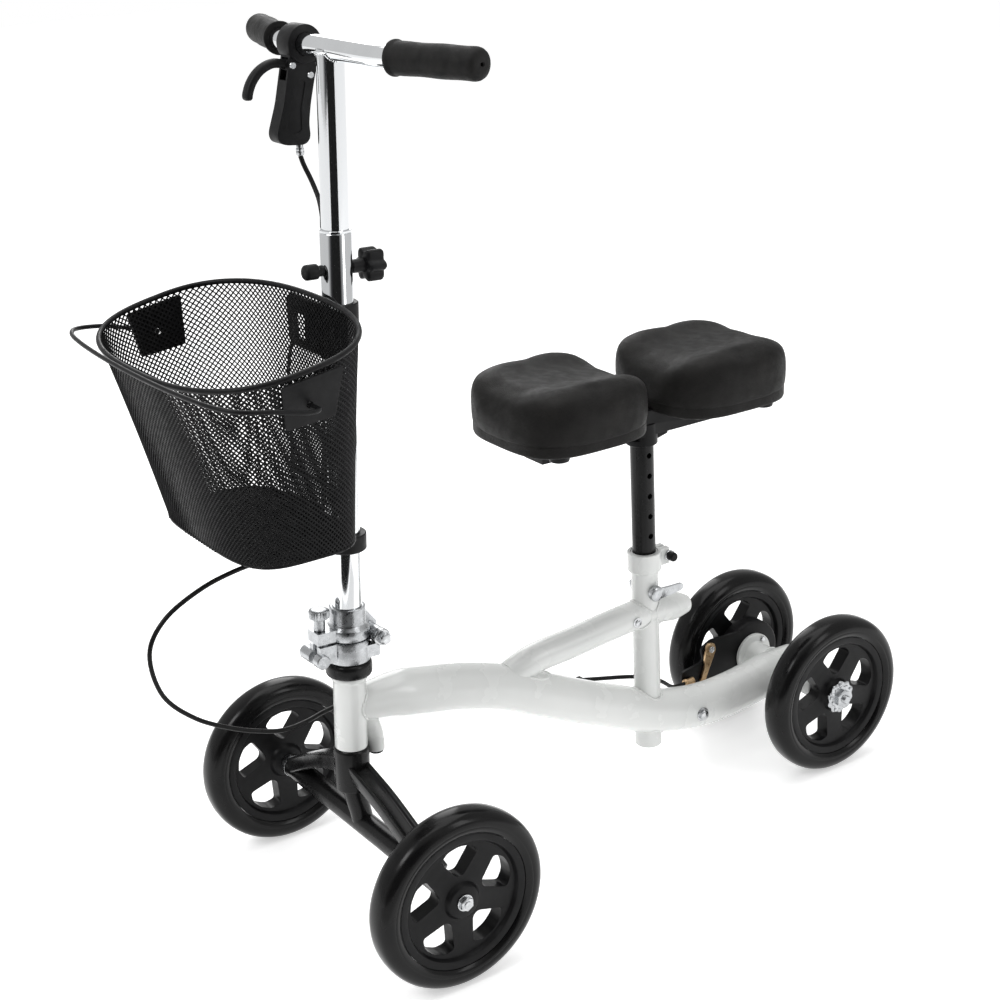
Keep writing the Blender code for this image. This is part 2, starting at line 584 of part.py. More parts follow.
def build_hinge(stem_axis):
    pin = (0.0, FOLD_PIN_Y, FOLD_PIN_H)
    lower = add_object("hinge_lower",
                       lathe("hinge_lower",
                             ring_profile(STEERER_RADIUS + GAP, 0.0235, 0.3015, 0.3270, 0.0015), 20,
                             closed=True), "steel", stem_axis)
    ears = cutter("hinge_ears", box("hinge_ears", (-0.0205, 0.0100, 0.3060), (0.0205, 0.0270, 0.3200)),
                  stem_axis)
    boolean(lower, ears, "UNION")
    knuckle = cutter("hinge_knuckle",
                     lathe("hinge_knuckle", rod_profile(0.0088, -0.0210, 0.0210), 16, axis="X"), stem_axis,
                     pin)
    boolean(lower, knuckle, "UNION")
    nose = cutter("hinge_nose", box("hinge_nose", (-0.0115, -0.0400, 0.3060), (0.0115, -0.0140, 0.3260)),
                  stem_axis)
    boolean(lower, nose, "UNION")
    barrel = cutter("hinge_barrel",
                    lathe("hinge_barrel", rod_profile(0.0078, -0.0250, 0.0150), 12, axis="X"), stem_axis,
                    (0.0, CLAMP_Y - 0.004, 0.3105))
    boolean(lower, barrel, "UNION")
    steerer_bore = cutter("hinge_bore",
                          lathe("hinge_bore", [(STEERER_RADIUS + GAP, 0.29), (STEERER_RADIUS + GAP, 0.34)],
                                20), stem_axis)
    boolean(lower, steerer_bore)
    slot = cutter("hinge_slot", box("hinge_slot", (-0.0103, 0.0160, 0.28), (0.0103, 0.0600, 0.35)),
                  stem_axis)
    boolean(lower, slot)
    clamp_slot = cutter("clamp_slot", box("clamp_slot", (-0.0043, -0.0600, 0.28),
                                          (0.0043, CLAMP_Y + 0.0043, 0.35)), stem_axis)
    boolean(lower, clamp_slot)
    pin_tool = cutter("pin_tool", lathe("pin_tool", [(0.0043, -0.05), (0.0043, 0.05)], 12, axis="X"),
                      stem_axis, pin)
    boolean(lower, pin_tool)

    upper = add_object("hinge_upper",
                       lathe("hinge_upper", [(STEM_OUTER_RADIUS + GAP, 0.3450),
                                             (STEM_OUTER_RADIUS + GAP, 0.3630), (0.0185, 0.3630),
                                             (0.0195, 0.3615), (0.0195, 0.3440), (0.0235, 0.3400),
                                             (0.0235, 0.3290), (0.0225, 0.3280), (0.0100, 0.3280),
                                             (0.0100, 0.3450)], 20, closed=True), "steel", stem_axis)
    knuckle_tool = cutter("knuckle_tool",
                          lathe("knuckle_tool", [(0.0091, -0.03), (0.0091, 0.03)], 16, axis="X"), stem_axis,
                          pin)
    boolean(upper, knuckle_tool)
    arm = cutter("hinge_arm", box("hinge_arm", (-0.0100, 0.0140, 0.3285), (0.0100, 0.0270, 0.3370)),
                 stem_axis)
    boolean(upper, arm, "UNION")
    eye = cutter("hinge_eye", lathe("hinge_eye", rod_profile(0.0083, -0.0100, 0.0100), 16, axis="X"),
                 stem_axis, pin)
    boolean(upper, eye, "UNION")
    lug = cutter("clamp_lug", box("clamp_lug", (-0.0110, -0.0420, 0.3290), (0.0110, -0.0140, 0.3420)),
                 stem_axis)
    boolean(upper, lug, "UNION")
    rib = cutter("hinge_rib",
                 prism("hinge_rib", [(0.0175, 0.3350), (0.0330, 0.3350), (0.0330, 0.3385), (0.0185, 0.3560),
                                     (0.0175, 0.3560)], -0.0045, 0.0045), stem_axis)
    boolean(upper, rib, "UNION")
    boolean(upper, pin_tool)
    screw_hole = cutter("clamp_hole", lathe("clamp_hole", [(0.0043, 0.30), (0.0043, 0.36)], 12), stem_axis,
                        (0.0, CLAMP_Y, 0.0))
    boolean(upper, screw_hole)

    pin_profile = [(0.0070, -0.0310), (0.0080, -0.0300), (0.0080, -0.0215), (0.0040, -0.0215),
                   (0.0040, 0.0215), (0.0095, 0.0215), (0.0095, 0.0280), (0.0070, 0.0285), (0.0070, 0.0350),
                   (0.0060, 0.0360)]
    add_object("hinge_pin", lathe("hinge_pin", pin_profile, 12, axis="X"), "steel", stem_axis, pin)

    knob = [(0.0030, 0.3080), (0.0038, 0.3090), (0.0038, 0.3425), (0.0062, 0.3425), (0.0062, 0.3560),
            (0.0100, 0.3570), (0.0108, 0.3590), (0.0108, 0.3640), (0.0090, 0.3665)]
    add_object("fold_knob", lathe("fold_knob", knob, 12), "steel", stem_axis, (0.0, CLAMP_Y, 0.0))


# ---------------------------------------------------------------- stem and handlebar

def bar_path():
    """Centre line of the whole bar: straight in the middle, both ends swept towards the rider."""
    bend = 0.018
    half = [(BAR_STRAIGHT - bend, 0.0)]
    turn_radius = bend / math.tan(BAR_SWEEP / 2)
    for i in range(1, 4):
        angle = BAR_SWEEP * i / 3
        half.append((BAR_STRAIGHT - bend + turn_radius * math.sin(angle),
                     turn_radius * (1 - math.cos(angle))))
    half.append((BAR_STRAIGHT + BAR_SWEPT * math.cos(BAR_SWEEP), BAR_SWEPT * math.sin(BAR_SWEEP)))
    left = [(x, y, 0.0) for x, y in half]
    right = [(-x, y, 0.0) for x, y in reversed(half)]
    return [Vector(point) for point in right + left]


def build_stem(stem_axis):
    tube = [(STEM_OUTER_BORE, 0.3453), (STEM_OUTER_RADIUS, 0.3453), (STEM_OUTER_RADIUS, STEM_TOP),
            (STEM_OUTER_BORE, STEM_TOP)]
    add_object("stem_outer", lathe("stem_outer", tube, 20, closed=True), "chrome", stem_axis)

    cap = [(0.0055, 0.0162), (0.0055, 0.0215), (0.0078, 0.0225), (0.0078, 0.0350), (0.0060, 0.0370)]
    add_object("height_bolt_cap",
               lathe("height_bolt_cap", [(radius, -y) for radius, y in cap], 16, axis="Y"), "black_plastic",
               stem_axis, (0.0, 0.0, KNOB_HEIGHT))

    lobes = 6
    bm = bmesh.new()
    rings = []
    for y, scale in ((0.0300, 0.80), (0.0325, 1.0), (0.0465, 1.0), (0.0500, 0.75)):
        ring = []
        for i in range(36):
            angle = 2 * math.pi * i / 36
            radius = scale * (0.0155 + 0.0025 * math.cos(lobes * angle))
            ring.append(bm.verts.new((radius * math.cos(angle), y, radius * math.sin(angle))))
        rings.append(ring)
    for first, second in zip(rings, rings[1:]):
        bridge(bm, first, second)
    bm.faces.new(rings[0])
    bm.faces.new(rings[-1])
    knob = add_object("height_knob", mesh_from("height_knob", bm), "black_plastic", stem_axis,
                      (0.0, 0.0, KNOB_HEIGHT))
    neck = cutter("knob_neck", lathe("knob_neck", [(0.0065, 0.0162), (0.0072, 0.0230), (0.0080, 0.0345)],
                                     16, axis="Y"), stem_axis, (0.0, 0.0, KNOB_HEIGHT))
    boolean(knob, neck, "UNION")

    bar_centre = from_axle(0.0, BAR_Y, BAR_HEIGHT)
    path = bar_path()
    bar_mesh = sweep("handlebar", path, [round_section(BAR_RADIUS, 14)] * len(path), side=(0, 0, 1),
                     bores=[round_section(0.0096, 14)] * len(path), close_end=False)
    add_object("handlebar", bar_mesh, "chrome", location=bar_centre)
    bar_tool = cutter("bar_tool", lathe("bar_tool", [(BAR_RADIUS + GAP, -0.05), (BAR_RADIUS + GAP, 0.05)],
                                        16, axis="X"), location=bar_centre)
    inner = [(0.0124, 0.6000), (STEM_INNER_RADIUS, 0.6000), (STEM_INNER_RADIUS, 0.9360), (0.0124, 0.9360)]
    stem_inner = add_object("stem_inner", lathe("stem_inner", inner, 20, closed=True), "chrome", stem_axis)
    boolean(stem_inner, bar_tool)

    tip = GRIP_LENGTH
    grip = [(BAR_RADIUS + GAP, 0.0), (0.0165, 0.0), (0.0165, 0.0040), (GRIP_RADIUS, 0.0060),
            (GRIP_RADIUS, tip - 0.0065), (0.0145, tip - 0.0025), (0.0100, tip - 0.0005), (0.0020, tip),
            (0.0020, tip - 0.0030), (BAR_RADIUS + GAP, tip - 0.0030)]
    for place, sign in (("left", 1), ("right", -1)):
        mesh = lathe("grip", [(radius, sign * x) for radius, x in grip], 16, closed=True, axis="X")
        start = (sign * (BAR_STRAIGHT + GRIP_START * math.cos(BAR_SWEEP)), GRIP_START * math.sin(BAR_SWEEP),
                 0.0)
        location = Vector(bar_centre) + Vector(start)
        add_object("grip_" + place, mesh, "rubber", location=location,
                   rotation=(0.0, 0.0, sign * BAR_SWEEP))

    build_brake_lever(bar_centre)


def build_brake_lever(bar_centre):
    middle_x = -0.060
    housing = add_object("brake_housing",
                         lathe("brake_housing",
                               ring_profile(BAR_RADIUS + GAP, 0.0165, -0.0130, 0.0130, 0.0015), 16,
                               closed=True, axis="X"), "black_plastic",
                         location=Vector(bar_centre) + Vector((middle_x, 0.0, 0.0)))
    outline = [(0.0085, 0.930), (0.0060, 0.917), (-0.0030, 0.879), (-0.0130, 0.851), (-0.0110, 0.8435),
               (-0.0040, 0.8400), (0.0180, 0.8380), (0.0245, 0.8445), (0.0235, 0.858), (0.0270, 0.878),
               (0.0350, 0.908), (0.0390, 0.926)]
    body = cutter("housing_body", prism("housing_body", [(FRONT_AXLE_Y + y, z) for y, z in outline],
                                        middle_x - 0.009, middle_x + 0.009))
    boolean(housing, body, "UNION")
    bore = cutter("housing_bore",
                  lathe("housing_bore", [(BAR_RADIUS + GAP, -0.03), (BAR_RADIUS + GAP, 0.03)], 16,
                        axis="X"), location=Vector(bar_centre) + Vector((middle_x, 0.0, 0.0)))
    boolean(housing, bore)
    low = from_axle(middle_x - 0.0063, -0.020, 0.902)
    high = from_axle(middle_x + 0.0063, 0.0195, 0.9235)
    slot = cutter("lever_slot", box("lever_slot", low, high))
    boolean(housing, slot)

    pivot_y, pivot_z = BRAKE_PIVOT
    lever = add_object("brake_lever",
                       lathe("brake_lever", rod_profile(0.0060, -0.0060, 0.0060), 16, axis="X"),
                       "black_plastic", location=from_axle(middle_x, pivot_y, pivot_z))
    route = [(0.0090, 0.916), (-0.004, 0.9190), (-0.014, 0.9175), (-0.024, 0.9120), (-0.0320, 0.9030),
             (-0.0365, 0.8930), (-0.0370, 0.8870)]
    path = shifted([(middle_x, y, z) for y, z in route])
    section = [(-0.0055, -0.0045), (0.0055, -0.0045), (0.0060, 0.0), (0.0055, 0.0045), (-0.0055, 0.0045),
               (-0.0060, 0.0)]
    hook = cutter("lever_hook", sweep("lever_hook", path, [section] * len(path)))
    boolean(lever, hook, "UNION")

    ferrule = [(0.0036, -0.0005), (0.0036, -0.0040), (0.0042, -0.0050), (0.0042, -0.0110),
               (0.0030, -0.0118)]
    add_object("cable_ferrule", lathe("cable_ferrule", ferrule, 12), "steel",
               location=from_axle(middle_x, 0.0160, 0.8380))


# ---------------------------------------------------------------- basket

def basket_outline(shape):
    """Half of a rounded outline, from the middle of its back to the middle of its front."""
    half_width, back, widest, front, back_power, front_power = shape
    quarter = [math.pi / 2 * i / 6 for i in range(7)]
    rear = [(half_width * math.sin(t) ** (2 / back_power),
             widest + (back - widest) * math.cos(t) ** (2 / back_power)) for t in quarter]
    nose = [(half_width * math.cos(t) ** (2 / front_power),
             widest + (front - widest) * math.sin(t) ** (2 / front_power)) for t in quarter[1:]]
    return rear + nose


def mirrored_loop(half):
    return half + [(-x, y) for x, y in reversed(half[1:-1])]


def rim_height(y):
    """The basket's mouth slopes down towards the front."""
    return 0.6636 + 0.18 * (y - BASKET_MOUTH[3])


def basket_ring(blend, inset, rise):
    """Cross-section of the basket between its floor (0) and its mouth (1)."""
    ring = []
    base = mirrored_loop(basket_outline(BASKET_BASE))
    mouth = mirrored_loop(basket_outline(BASKET_MOUTH))
    for (bx, by), (rx, ry) in zip(base, mouth):
        x = bx + (rx - bx) * blend
        y = by + (ry - by) * blend
        middle = Vector((0.0, -0.0900, 0.0))
        outward = (Vector((x, y, 0.0)) - middle).normalized()
        z = BASKET_FLOOR + (rim_height(ry) - 0.0032 - BASKET_FLOOR) * blend + rise
        ring.append(Vector(from_axle(x - outward.x * inset, y - outward.y * inset, z)))
    return smooth_path(ring, 2, closed=True)


def build_basket(stem_axis):
    bm = bmesh.new()
    outer = [[bm.verts.new(point) for point in basket_ring(blend, 0.0, 0.0)] for blend in (0.0, 0.5, 1.0)]
    inner = [[bm.verts.new(point) for point in basket_ring(blend, BASKET_WALL, rise)]
             for blend, rise in ((0.0, BASKET_WALL), (0.5, 0.0), (1.0, 0.0))]
    for rings in (outer, inner):
        for first, second in zip(rings, rings[1:]):
            bridge(bm, first, second)
        bm.faces.new(rings[0])
    bridge(bm, outer[-1], inner[-1])
    add_object("basket", mesh_from("basket", bm), "black_paint")

    mouth = mirrored_loop(basket_outline(BASKET_MOUTH))
    loop = smooth_path(shifted([(x, y, rim_height(y)) for x, y in mouth]), 2, closed=True)
    section = round_section(RIM_WIRE, 6)
    add_object("basket_rim", sweep("basket_rim", loop, [section] * len(loop), closed=True, side=(0, 0, 1)),
               "black_paint")

    ring = ring_profile(STEM_OUTER_RADIUS + GAP, 0.0210, 0.6570, 0.6900)
    bracket = add_object("basket_bracket", lathe("basket_bracket", ring, 20, closed=True), "black_plastic",
                         stem_axis)
    plate = cutter("bracket_plate", box("bracket_plate", from_axle(-0.062, -0.0118, 0.6380),
                                        from_axle(0.062, -0.0075, 0.6925)))
    boolean(bracket, plate, "UNION")
    window = cutter("bracket_window", box("bracket_window", from_axle(-0.048, -0.03, 0.6470),
                                          from_axle(-0.026, 0.01, 0.6740)))
    boolean(bracket, window)
    other = cutter("bracket_window_left", box("bracket_window_left", from_axle(0.026, -0.03, 0.6470),
                                              from_axle(0.048, 0.01, 0.6740)))
    boolean(bracket, other)
    boolean(bracket,
            cutter("front_trim",
                   box("front_trim", from_axle(-0.1, -0.06, 0.6), from_axle(0.1, -0.0119, 0.72))))
    side = [(0.058, -0.0096, 0.6450), (0.058, -0.0168, 0.6150), (0.058, -0.0190, 0.5700),
            (0.058, -0.0202, 0.5150), (0.052, -0.0202, 0.5060)]
    wires = shifted([(-x, y, z) for x, y, z in side] + list(reversed(side)))
    boolean(bracket, cutter("bracket_wires", swept_wire("bracket_wires", wires, 0.0018, 6)), "UNION")
    tube_tool = cutter("stem_tool",
                       lathe("stem_tool", [(STEM_OUTER_RADIUS + GAP, 0.40),
                                           (STEM_OUTER_RADIUS + GAP, 0.72)], 20), stem_axis)
    boolean(bracket, tube_tool)

    rest = add_object("basket_rest",
                      lathe("basket_rest", ring_profile(STEM_OUTER_RADIUS + GAP, 0.0225, 0.4270, 0.4450),
                            20, closed=True), "black_plastic", stem_axis)
    tab = cutter("rest_tab",
                 box("rest_tab", from_axle(-0.013, -0.0360, 0.4370), from_axle(0.013, -0.0050, 0.4440)))
    boolean(rest, tab, "UNION")
    upright = cutter("rest_upright", box("rest_upright", from_axle(-0.013, -0.0360, 0.4380),
                                         from_axle(0.013, -0.0280, 0.4742)))
    boolean(rest, upright, "UNION")
    boolean(rest, tube_tool)

    pivot_y, pivot_z = BAIL_PIVOT
    for place, sign in (("left", 1), ("right", -1)):
        outline = [(-0.0300, 0.0235), (0.0330, 0.0335), (0.0280, -0.0180), (-0.0230, -0.0230)]
        plate = add_object("bail_plate_" + place, prism("bail_plate", outline, -0.00125, 0.00125),
                           "black_plastic", location=from_axle(sign * BAIL_PLATE_X, pivot_y, pivot_z),
                           rotation=(0.0, sign * BASKET_FLARE, 0.0))
        hole_mesh = lathe("bail_hole", [(BAIL_WIRE + 0.0010, -0.01), (BAIL_WIRE + 0.0010, 0.01)], 12,
                          axis="X")
        boolean(plate, cutter("bail_hole_" + place, hole_mesh, location=plate.location))

    half = [(0.0, -0.2190, 0.6655), (0.060, -0.2178, 0.6655), (0.120, -0.2130, 0.6650),
            (0.160, -0.2050, 0.6640), (0.181, -0.1900, 0.6620), (0.188, -0.1600, 0.6575),
            (0.1872, -0.1350, 0.6510), (0.1850, -0.1200, 0.6484), (0.1800, -0.1125, 0.6480),
            (0.1720, -0.1120, 0.6480), (0.1604, -0.1120, 0.6480)]
    route = [(-x, y, z) for x, y, z in reversed(half[1:])] + half
    local = [Vector((x, y - pivot_y, z - pivot_z)) for x, y, z in route]
    add_object("basket_bail", swept_wire("basket_bail", smooth_path(local, 2), BAIL_WIRE, 6), "black_paint",
               location=from_axle(0.0, pivot_y, pivot_z))


def swept_wire(name, path, radius, sides=8):
    """Round wire along any path; its sections turn as little as they can from point to point."""
    path = [Vector(point) for point in path]
    count = len(path)
    bm = bmesh.new()
    rings = []
    across = None
    for i, point in enumerate(path):
        along = (path[min(i + 1, count - 1)] - path[max(i - 1, 0)]).normalized()
        if across is None:
            across = along.orthogonal().normalized()
        across = (across - along * across.dot(along)).normalized()
        up = along.cross(across)
        rings.append([bm.verts.new(point + across * a + up * b) for a, b in round_section(radius, sides)])
    for first, second in zip(rings, rings[1:]):
        bridge(bm, first, second)
    bm.faces.new(rings[0])
    bm.faces.new(rings[-1])
    return mesh_from(name, bm)


# ---------------------------------------------------------------- seat

def pad_mesh():
    """Knee pad: nearly square, rounded all round, its top dished by a shallow channel along Y."""
    bm = bmesh.new()
    rings = []
    levels = ((0.0, 0.008), (0.003, 0.002), (0.010, 0.0), (PAD_HEIGHT - 0.015, 0.0),
              (PAD_HEIGHT - 0.005, 0.004), (PAD_HEIGHT - 0.001, 0.011), (PAD_HEIGHT, 0.020),
              (PAD_HEIGHT, 0.045), (PAD_HEIGHT, 0.060))
    for height, inset in levels:
        ring = []
        for i in range(40):
            angle = 2 * math.pi * (i + 0.5) / 40
            across, along = math.cos(angle), math.sin(angle)
            x = math.copysign(abs(across) ** 0.6, across) * (PAD_WIDTH / 2 - inset)
            y = math.copysign(abs(along) ** 0.6, along) * (PAD_LENGTH / 2 - inset)
            side = min(max((abs(x) - 0.030) / 0.045, 0.0), 1.0)
            upper = min(height / PAD_HEIGHT, 1.0) ** 3
            ring.append(bm.verts.new((x, y, height - PAD_CHANNEL * (1.0 - side) * upper)))
        rings.append(ring)
    for first, second in zip(rings, rings[1:]):
        bridge(bm, first, second)
    bm.faces.new(rings[0])
    bm.faces.new(rings[-1])
    return mesh_from("pad", bm)


def build_seat(seat_axis):
    post = [(0.0120, 0.2000), (SEAT_POST_RADIUS, 0.2000), (SEAT_POST_RADIUS, 0.4650), (0.0120, 0.4650)]
    seat_post = add_object("seat_post", lathe("seat_post", post, 20, closed=True), "black_paint", seat_axis)
    for i, height in enumerate(POST_HOLES):
        hole = cutter("post_hole_%d" % i,
                      lathe("post_hole", [(0.0034, -0.03), (0.0034, 0.03)], 8, axis="X"), seat_axis,
                      (0.0, 0.0, height))
        boolean(seat_post, hole)

    carrier = add_object("seat_carrier",
                         lathe("seat_carrier", ring_profile(SEAT_POST_RADIUS + GAP, 0.0185, 0.4530, 0.4800),
                               20, closed=True), "black_paint", seat_axis)
    beam = cutter("carrier_beam", box("carrier_beam", from_axle(-0.0170, 0.2450, 0.4660),
                                      from_axle(0.0170, 0.5300, 0.4955), 0.001))
    boolean(carrier, beam, "UNION")
    for place, start, end in (("front", 0.2475, 0.3840), ("rear", 0.4290, 0.5275)):
        channel = cutter("channel_" + place, box("channel", from_axle(-0.0145, start, 0.46),
                                                 from_axle(0.0145, end, 0.4930)))
        boolean(carrier, channel)
    for place, y in (("front", PAD_FRONT_Y), ("rear", PAD_REAR_Y)):
        board = cutter("board_" + place, box("board", from_axle(-0.0640, y - 0.0620, 0.4941),
                                             from_axle(0.0640, y + 0.0620, 0.4995), 0.0015))
        boolean(carrier, board, "UNION")
    gusset = cutter("carrier_gusset",
                    prism("carrier_gusset",
                          [(FRONT_AXLE_Y + y, z) for y, z in ((0.4000, 0.4560), (0.4130, 0.4560),
                                                              (0.4680, 0.4700), (0.4680, 0.4750),
                                                              (0.3300, 0.4750), (0.3300, 0.4700),
                                                              (0.3860, 0.4560))], -0.0080, 0.0080))
    boolean(carrier, gusset, "UNION")
    boolean(carrier,
            cutter("post_tool",
                   lathe("post_tool", [(SEAT_POST_RADIUS + GAP, 0.42), (SEAT_POST_RADIUS + GAP, 0.4653)],
                         20), seat_axis))

    pad = pad_mesh()
    for place, y in (("front", PAD_FRONT_Y), ("rear", PAD_REAR_Y)):
        add_object("pad_" + place, pad, "leather", location=from_axle(0.0, y, PAD_BOTTOM))

    lever = add_object("seat_lever",
                       lathe("seat_lever", [(0.0080, 0.0164), (0.0095, 0.0175), (0.0095, 0.0225),
                                            (0.0075, 0.0255)], 16, axis="X"), "steel", seat_axis,
                       (0.0, 0.0, SEAT_PIN_H))
    blade = cutter("lever_blade",
                   prism("lever_blade", [(0.0, -0.0065), (0.0200, -0.0060), (0.0370, -0.0040),
                                         (0.0385, 0.0), (0.0370, 0.0040), (0.0200, 0.0050), (0.0, 0.0065)],
                         0.0212, 0.0246), seat_axis, (0.0, 0.0, SEAT_PIN_H))
    boolean(lever, blade, "UNION")


# ---------------------------------------------------------------- brake cable

CABLE_ROUTE = {"cable_bar": [(-0.0600, 0.0160, 0.8246), (-0.0580, 0.0180, 0.8170),
                             (-0.0500, 0.0210, 0.8020), (-0.0390, 0.0215, 0.7860),
                             (-0.0300, 0.0190, 0.7720), (-0.0275, 0.0175, 0.7630)],
               "cable_slack": [(-0.0275, 0.0175, 0.7617), (-0.0270, 0.0150, 0.7300),
                               (-0.0270, 0.0130, 0.6900), (-0.0270, 0.0110, 0.6500)],
               "cable_stem": [(-0.0270, 0.0110, 0.6497), (-0.0270, 0.0050, 0.5900),
                              (-0.0270, 0.0010, 0.5300), (-0.0270, -0.0050, 0.4720),
                              (-0.0265, -0.0220, 0.4400), (-0.0245, -0.0600, 0.4290),
                              (-0.0225, -0.1140, 0.4250), (-0.0205, -0.1570, 0.4160),
                              (-0.0200, -0.1980, 0.3950), (-0.0200, -0.2172, 0.3638)],
               "cable_fork": [(-0.0200, -0.2180, 0.3617), (-0.0200, -0.2090, 0.3140),
                              (-0.0190, -0.1770, 0.2780), (-0.0150, -0.1380, 0.2550),
                              (-0.0100, -0.1060, 0.2430)],
               "cable_frame": [(-0.0100, -0.1048, 0.2430), (-0.0110, -0.0800, 0.2360),
                               (-0.0220, -0.0480, 0.2310), (-0.0330, -0.0150, 0.2300),
                               (-0.0345, 0.0300, 0.2320), (-0.0330, 0.0800, 0.2290),
                               (-0.0320, 0.1300, 0.2210), (-0.0320, 0.2000, 0.2010),
                               (-0.0320, 0.2600, 0.1800), (-0.0310, 0.3230, 0.1610),
                               (-0.0310, 0.4040, 0.1400), (-0.0340, 0.4460, 0.1210),
                               (-0.0430, 0.4740, 0.1000), (-0.0476, 0.4890, 0.0942),
                               (-0.0476, 0.4990, 0.0940)],}


def build_cables():
    for name, route in CABLE_ROUTE.items():
        path = evenly_spaced(smooth_path(shifted(route), 8), CABLE_STEP)
        curve = bpy.data.curves.new(name, "CURVE")
        curve.dimensions = "3D"
        curve.bevel_depth = CABLE_RADIUS
        curve.bevel_resolution = 2
        curve.use_fill_caps = True
        spline = curve.splines.new("POLY")
        spline.points.add(len(path) - 1)
        for point, place in zip(spline.points, path):
            point.co = (*place, 1.0)
        cable = bpy.data.objects.new(name, curve)
        bpy.context.scene.collection.objects.link(cable)
        curve.materials.append(material_for(name, "rubber"))


def main():
    clear_scene()
    stem_axis = add_empty("stem_axis", STEM_FOOT_Y, STEM_LEAN)
    seat_axis = add_empty("seat_axis", SEAT_FOOT_Y, SEAT_LEAN)
    bpy.context.view_layer.update()
    build_wheels()
    build_frame(stem_axis, seat_axis)
    build_rear_axle()
    build_front_axle(stem_axis)
    build_hinge(stem_axis)
    build_stem(stem_axis)
    build_basket(stem_axis)
    build_seat(seat_axis)
    build_cables()


main()
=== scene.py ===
import math

import bmesh
import bpy
from mathutils import Matrix, Vector


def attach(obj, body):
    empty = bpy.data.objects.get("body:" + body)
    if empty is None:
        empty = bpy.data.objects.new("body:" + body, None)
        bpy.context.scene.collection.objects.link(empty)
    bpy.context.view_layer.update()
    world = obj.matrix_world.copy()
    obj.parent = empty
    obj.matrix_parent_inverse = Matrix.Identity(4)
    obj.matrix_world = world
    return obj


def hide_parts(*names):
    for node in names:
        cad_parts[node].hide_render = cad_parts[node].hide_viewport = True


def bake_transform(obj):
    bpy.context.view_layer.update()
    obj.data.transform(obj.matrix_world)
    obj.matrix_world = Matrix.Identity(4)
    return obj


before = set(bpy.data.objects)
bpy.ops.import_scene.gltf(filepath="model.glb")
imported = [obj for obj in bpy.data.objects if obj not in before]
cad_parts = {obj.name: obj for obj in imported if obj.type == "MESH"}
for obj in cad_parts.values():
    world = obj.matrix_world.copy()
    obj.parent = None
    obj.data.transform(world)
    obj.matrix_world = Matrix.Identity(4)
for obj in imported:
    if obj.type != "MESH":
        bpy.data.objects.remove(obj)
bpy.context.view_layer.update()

FRONT_AXLE_Y = -0.24835  # world Y of the front axle; lengths below are measured from it
WHEELBASE = 0.618
AXLE_HEIGHT = 0.1
FRONT_WHEEL_X, REAR_WHEEL_X = 0.188, 0.0914
STEM_LEAN, STEM_FOOT_Y = math.radians(2.474), -0.0165  # where each leaning axis meets the ground
SEAT_LEAN, SEAT_FOOT_Y = math.radians(-0.854), 0.4038
STEM = Matrix.Translation((0.0, FRONT_AXLE_Y + STEM_FOOT_Y, 0.0)) @ Matrix.Rotation(-STEM_LEAN, 4, "X")
SEAT = Matrix.Translation((0.0, FRONT_AXLE_Y + SEAT_FOOT_Y, 0.0)) @ Matrix.Rotation(-SEAT_LEAN, 4, "X")
AXLE = Matrix.Translation((0.0, FRONT_AXLE_Y, 0.0))
STEM_FROM_AXLE = AXLE.inverted() @ STEM
SEAT_FROM_AXLE = AXLE.inverted() @ SEAT


def at(x, y, z, base=AXLE):
    return base @ Matrix.Translation((x, y, z))


FRONT_AXLE, REAR_AXLE = at(0, 0, AXLE_HEIGHT), at(0, WHEELBASE, AXLE_HEIGHT)
BAR = at(0.0, 0.0239, 0.9355)


# ---------------------------------------------------------------- mesh helpers

def mesh_from(bm, sharp_angle=38.0):
    bmesh.ops.recalc_face_normals(bm, faces=bm.faces)
    mesh = bpy.data.meshes.new("shape")
    bm.to_mesh(mesh)
    bm.free()
    mesh.shade_smooth()
    mesh.set_sharp_from_angle(angle=math.radians(sharp_angle))
    return mesh


def bridge(bm, first, second, closed=True):
    count = len(first)
    for i in range(count if closed else count - 1):
        j = (i + 1) % count
        bm.faces.new((first[i], first[j], second[j], second[i]))


def add_lathe(bm, profile, segments=64, closed=False, axis="Z", offset=(0.0, 0.0, 0.0), lobes=0, depth=0.0):
    """Turn (radius, height) points about an axis into bm. Lobes wave the radius for knobs and knurls."""
    rings = []
    for radius, height in profile:
        ring = []
        for i in range(segments):
            angle = 2 * math.pi * i / segments
            r = radius + depth * math.cos(lobes * angle) if lobes else radius
            x, y, z = r * math.cos(angle), r * math.sin(angle), height
            if axis == "X":
                x, y, z = z, y, -x
            if axis == "Y":
                x, y, z = x, z, -y
            ring.append(bm.verts.new((x + offset[0], y + offset[1], z + offset[2])))
        rings.append(ring)
    for first, second in zip(rings, rings[1:]):
        bridge(bm, first, second)
    if closed:
        bridge(bm, rings[-1], rings[0])
    else:
        bm.faces.new(rings[0])
        bm.faces.new(rings[-1])


def lathe(profile, segments=64, closed=False, axis="Z", **more):
    bm = bmesh.new()
    add_lathe(bm, profile, segments, closed, axis, **more)
    return mesh_from(bm)


def rod(radius, start, end, segments=64, axis="Z", matrix=None):
    """Plain cylinder, for cutting bores."""
    mesh = lathe([(radius, start), (radius, end)], segments, axis=axis)
    if matrix is not None:
        mesh.transform(matrix)
    return mesh


def wall(inner, outer, low, high, edge):
    """Profile of a plain tube or collar with its outer edges taken off."""
    return [(inner, low), (outer - edge, low), (outer, low + edge), (outer, high - edge),
        (outer - edge, high), (inner, high)]


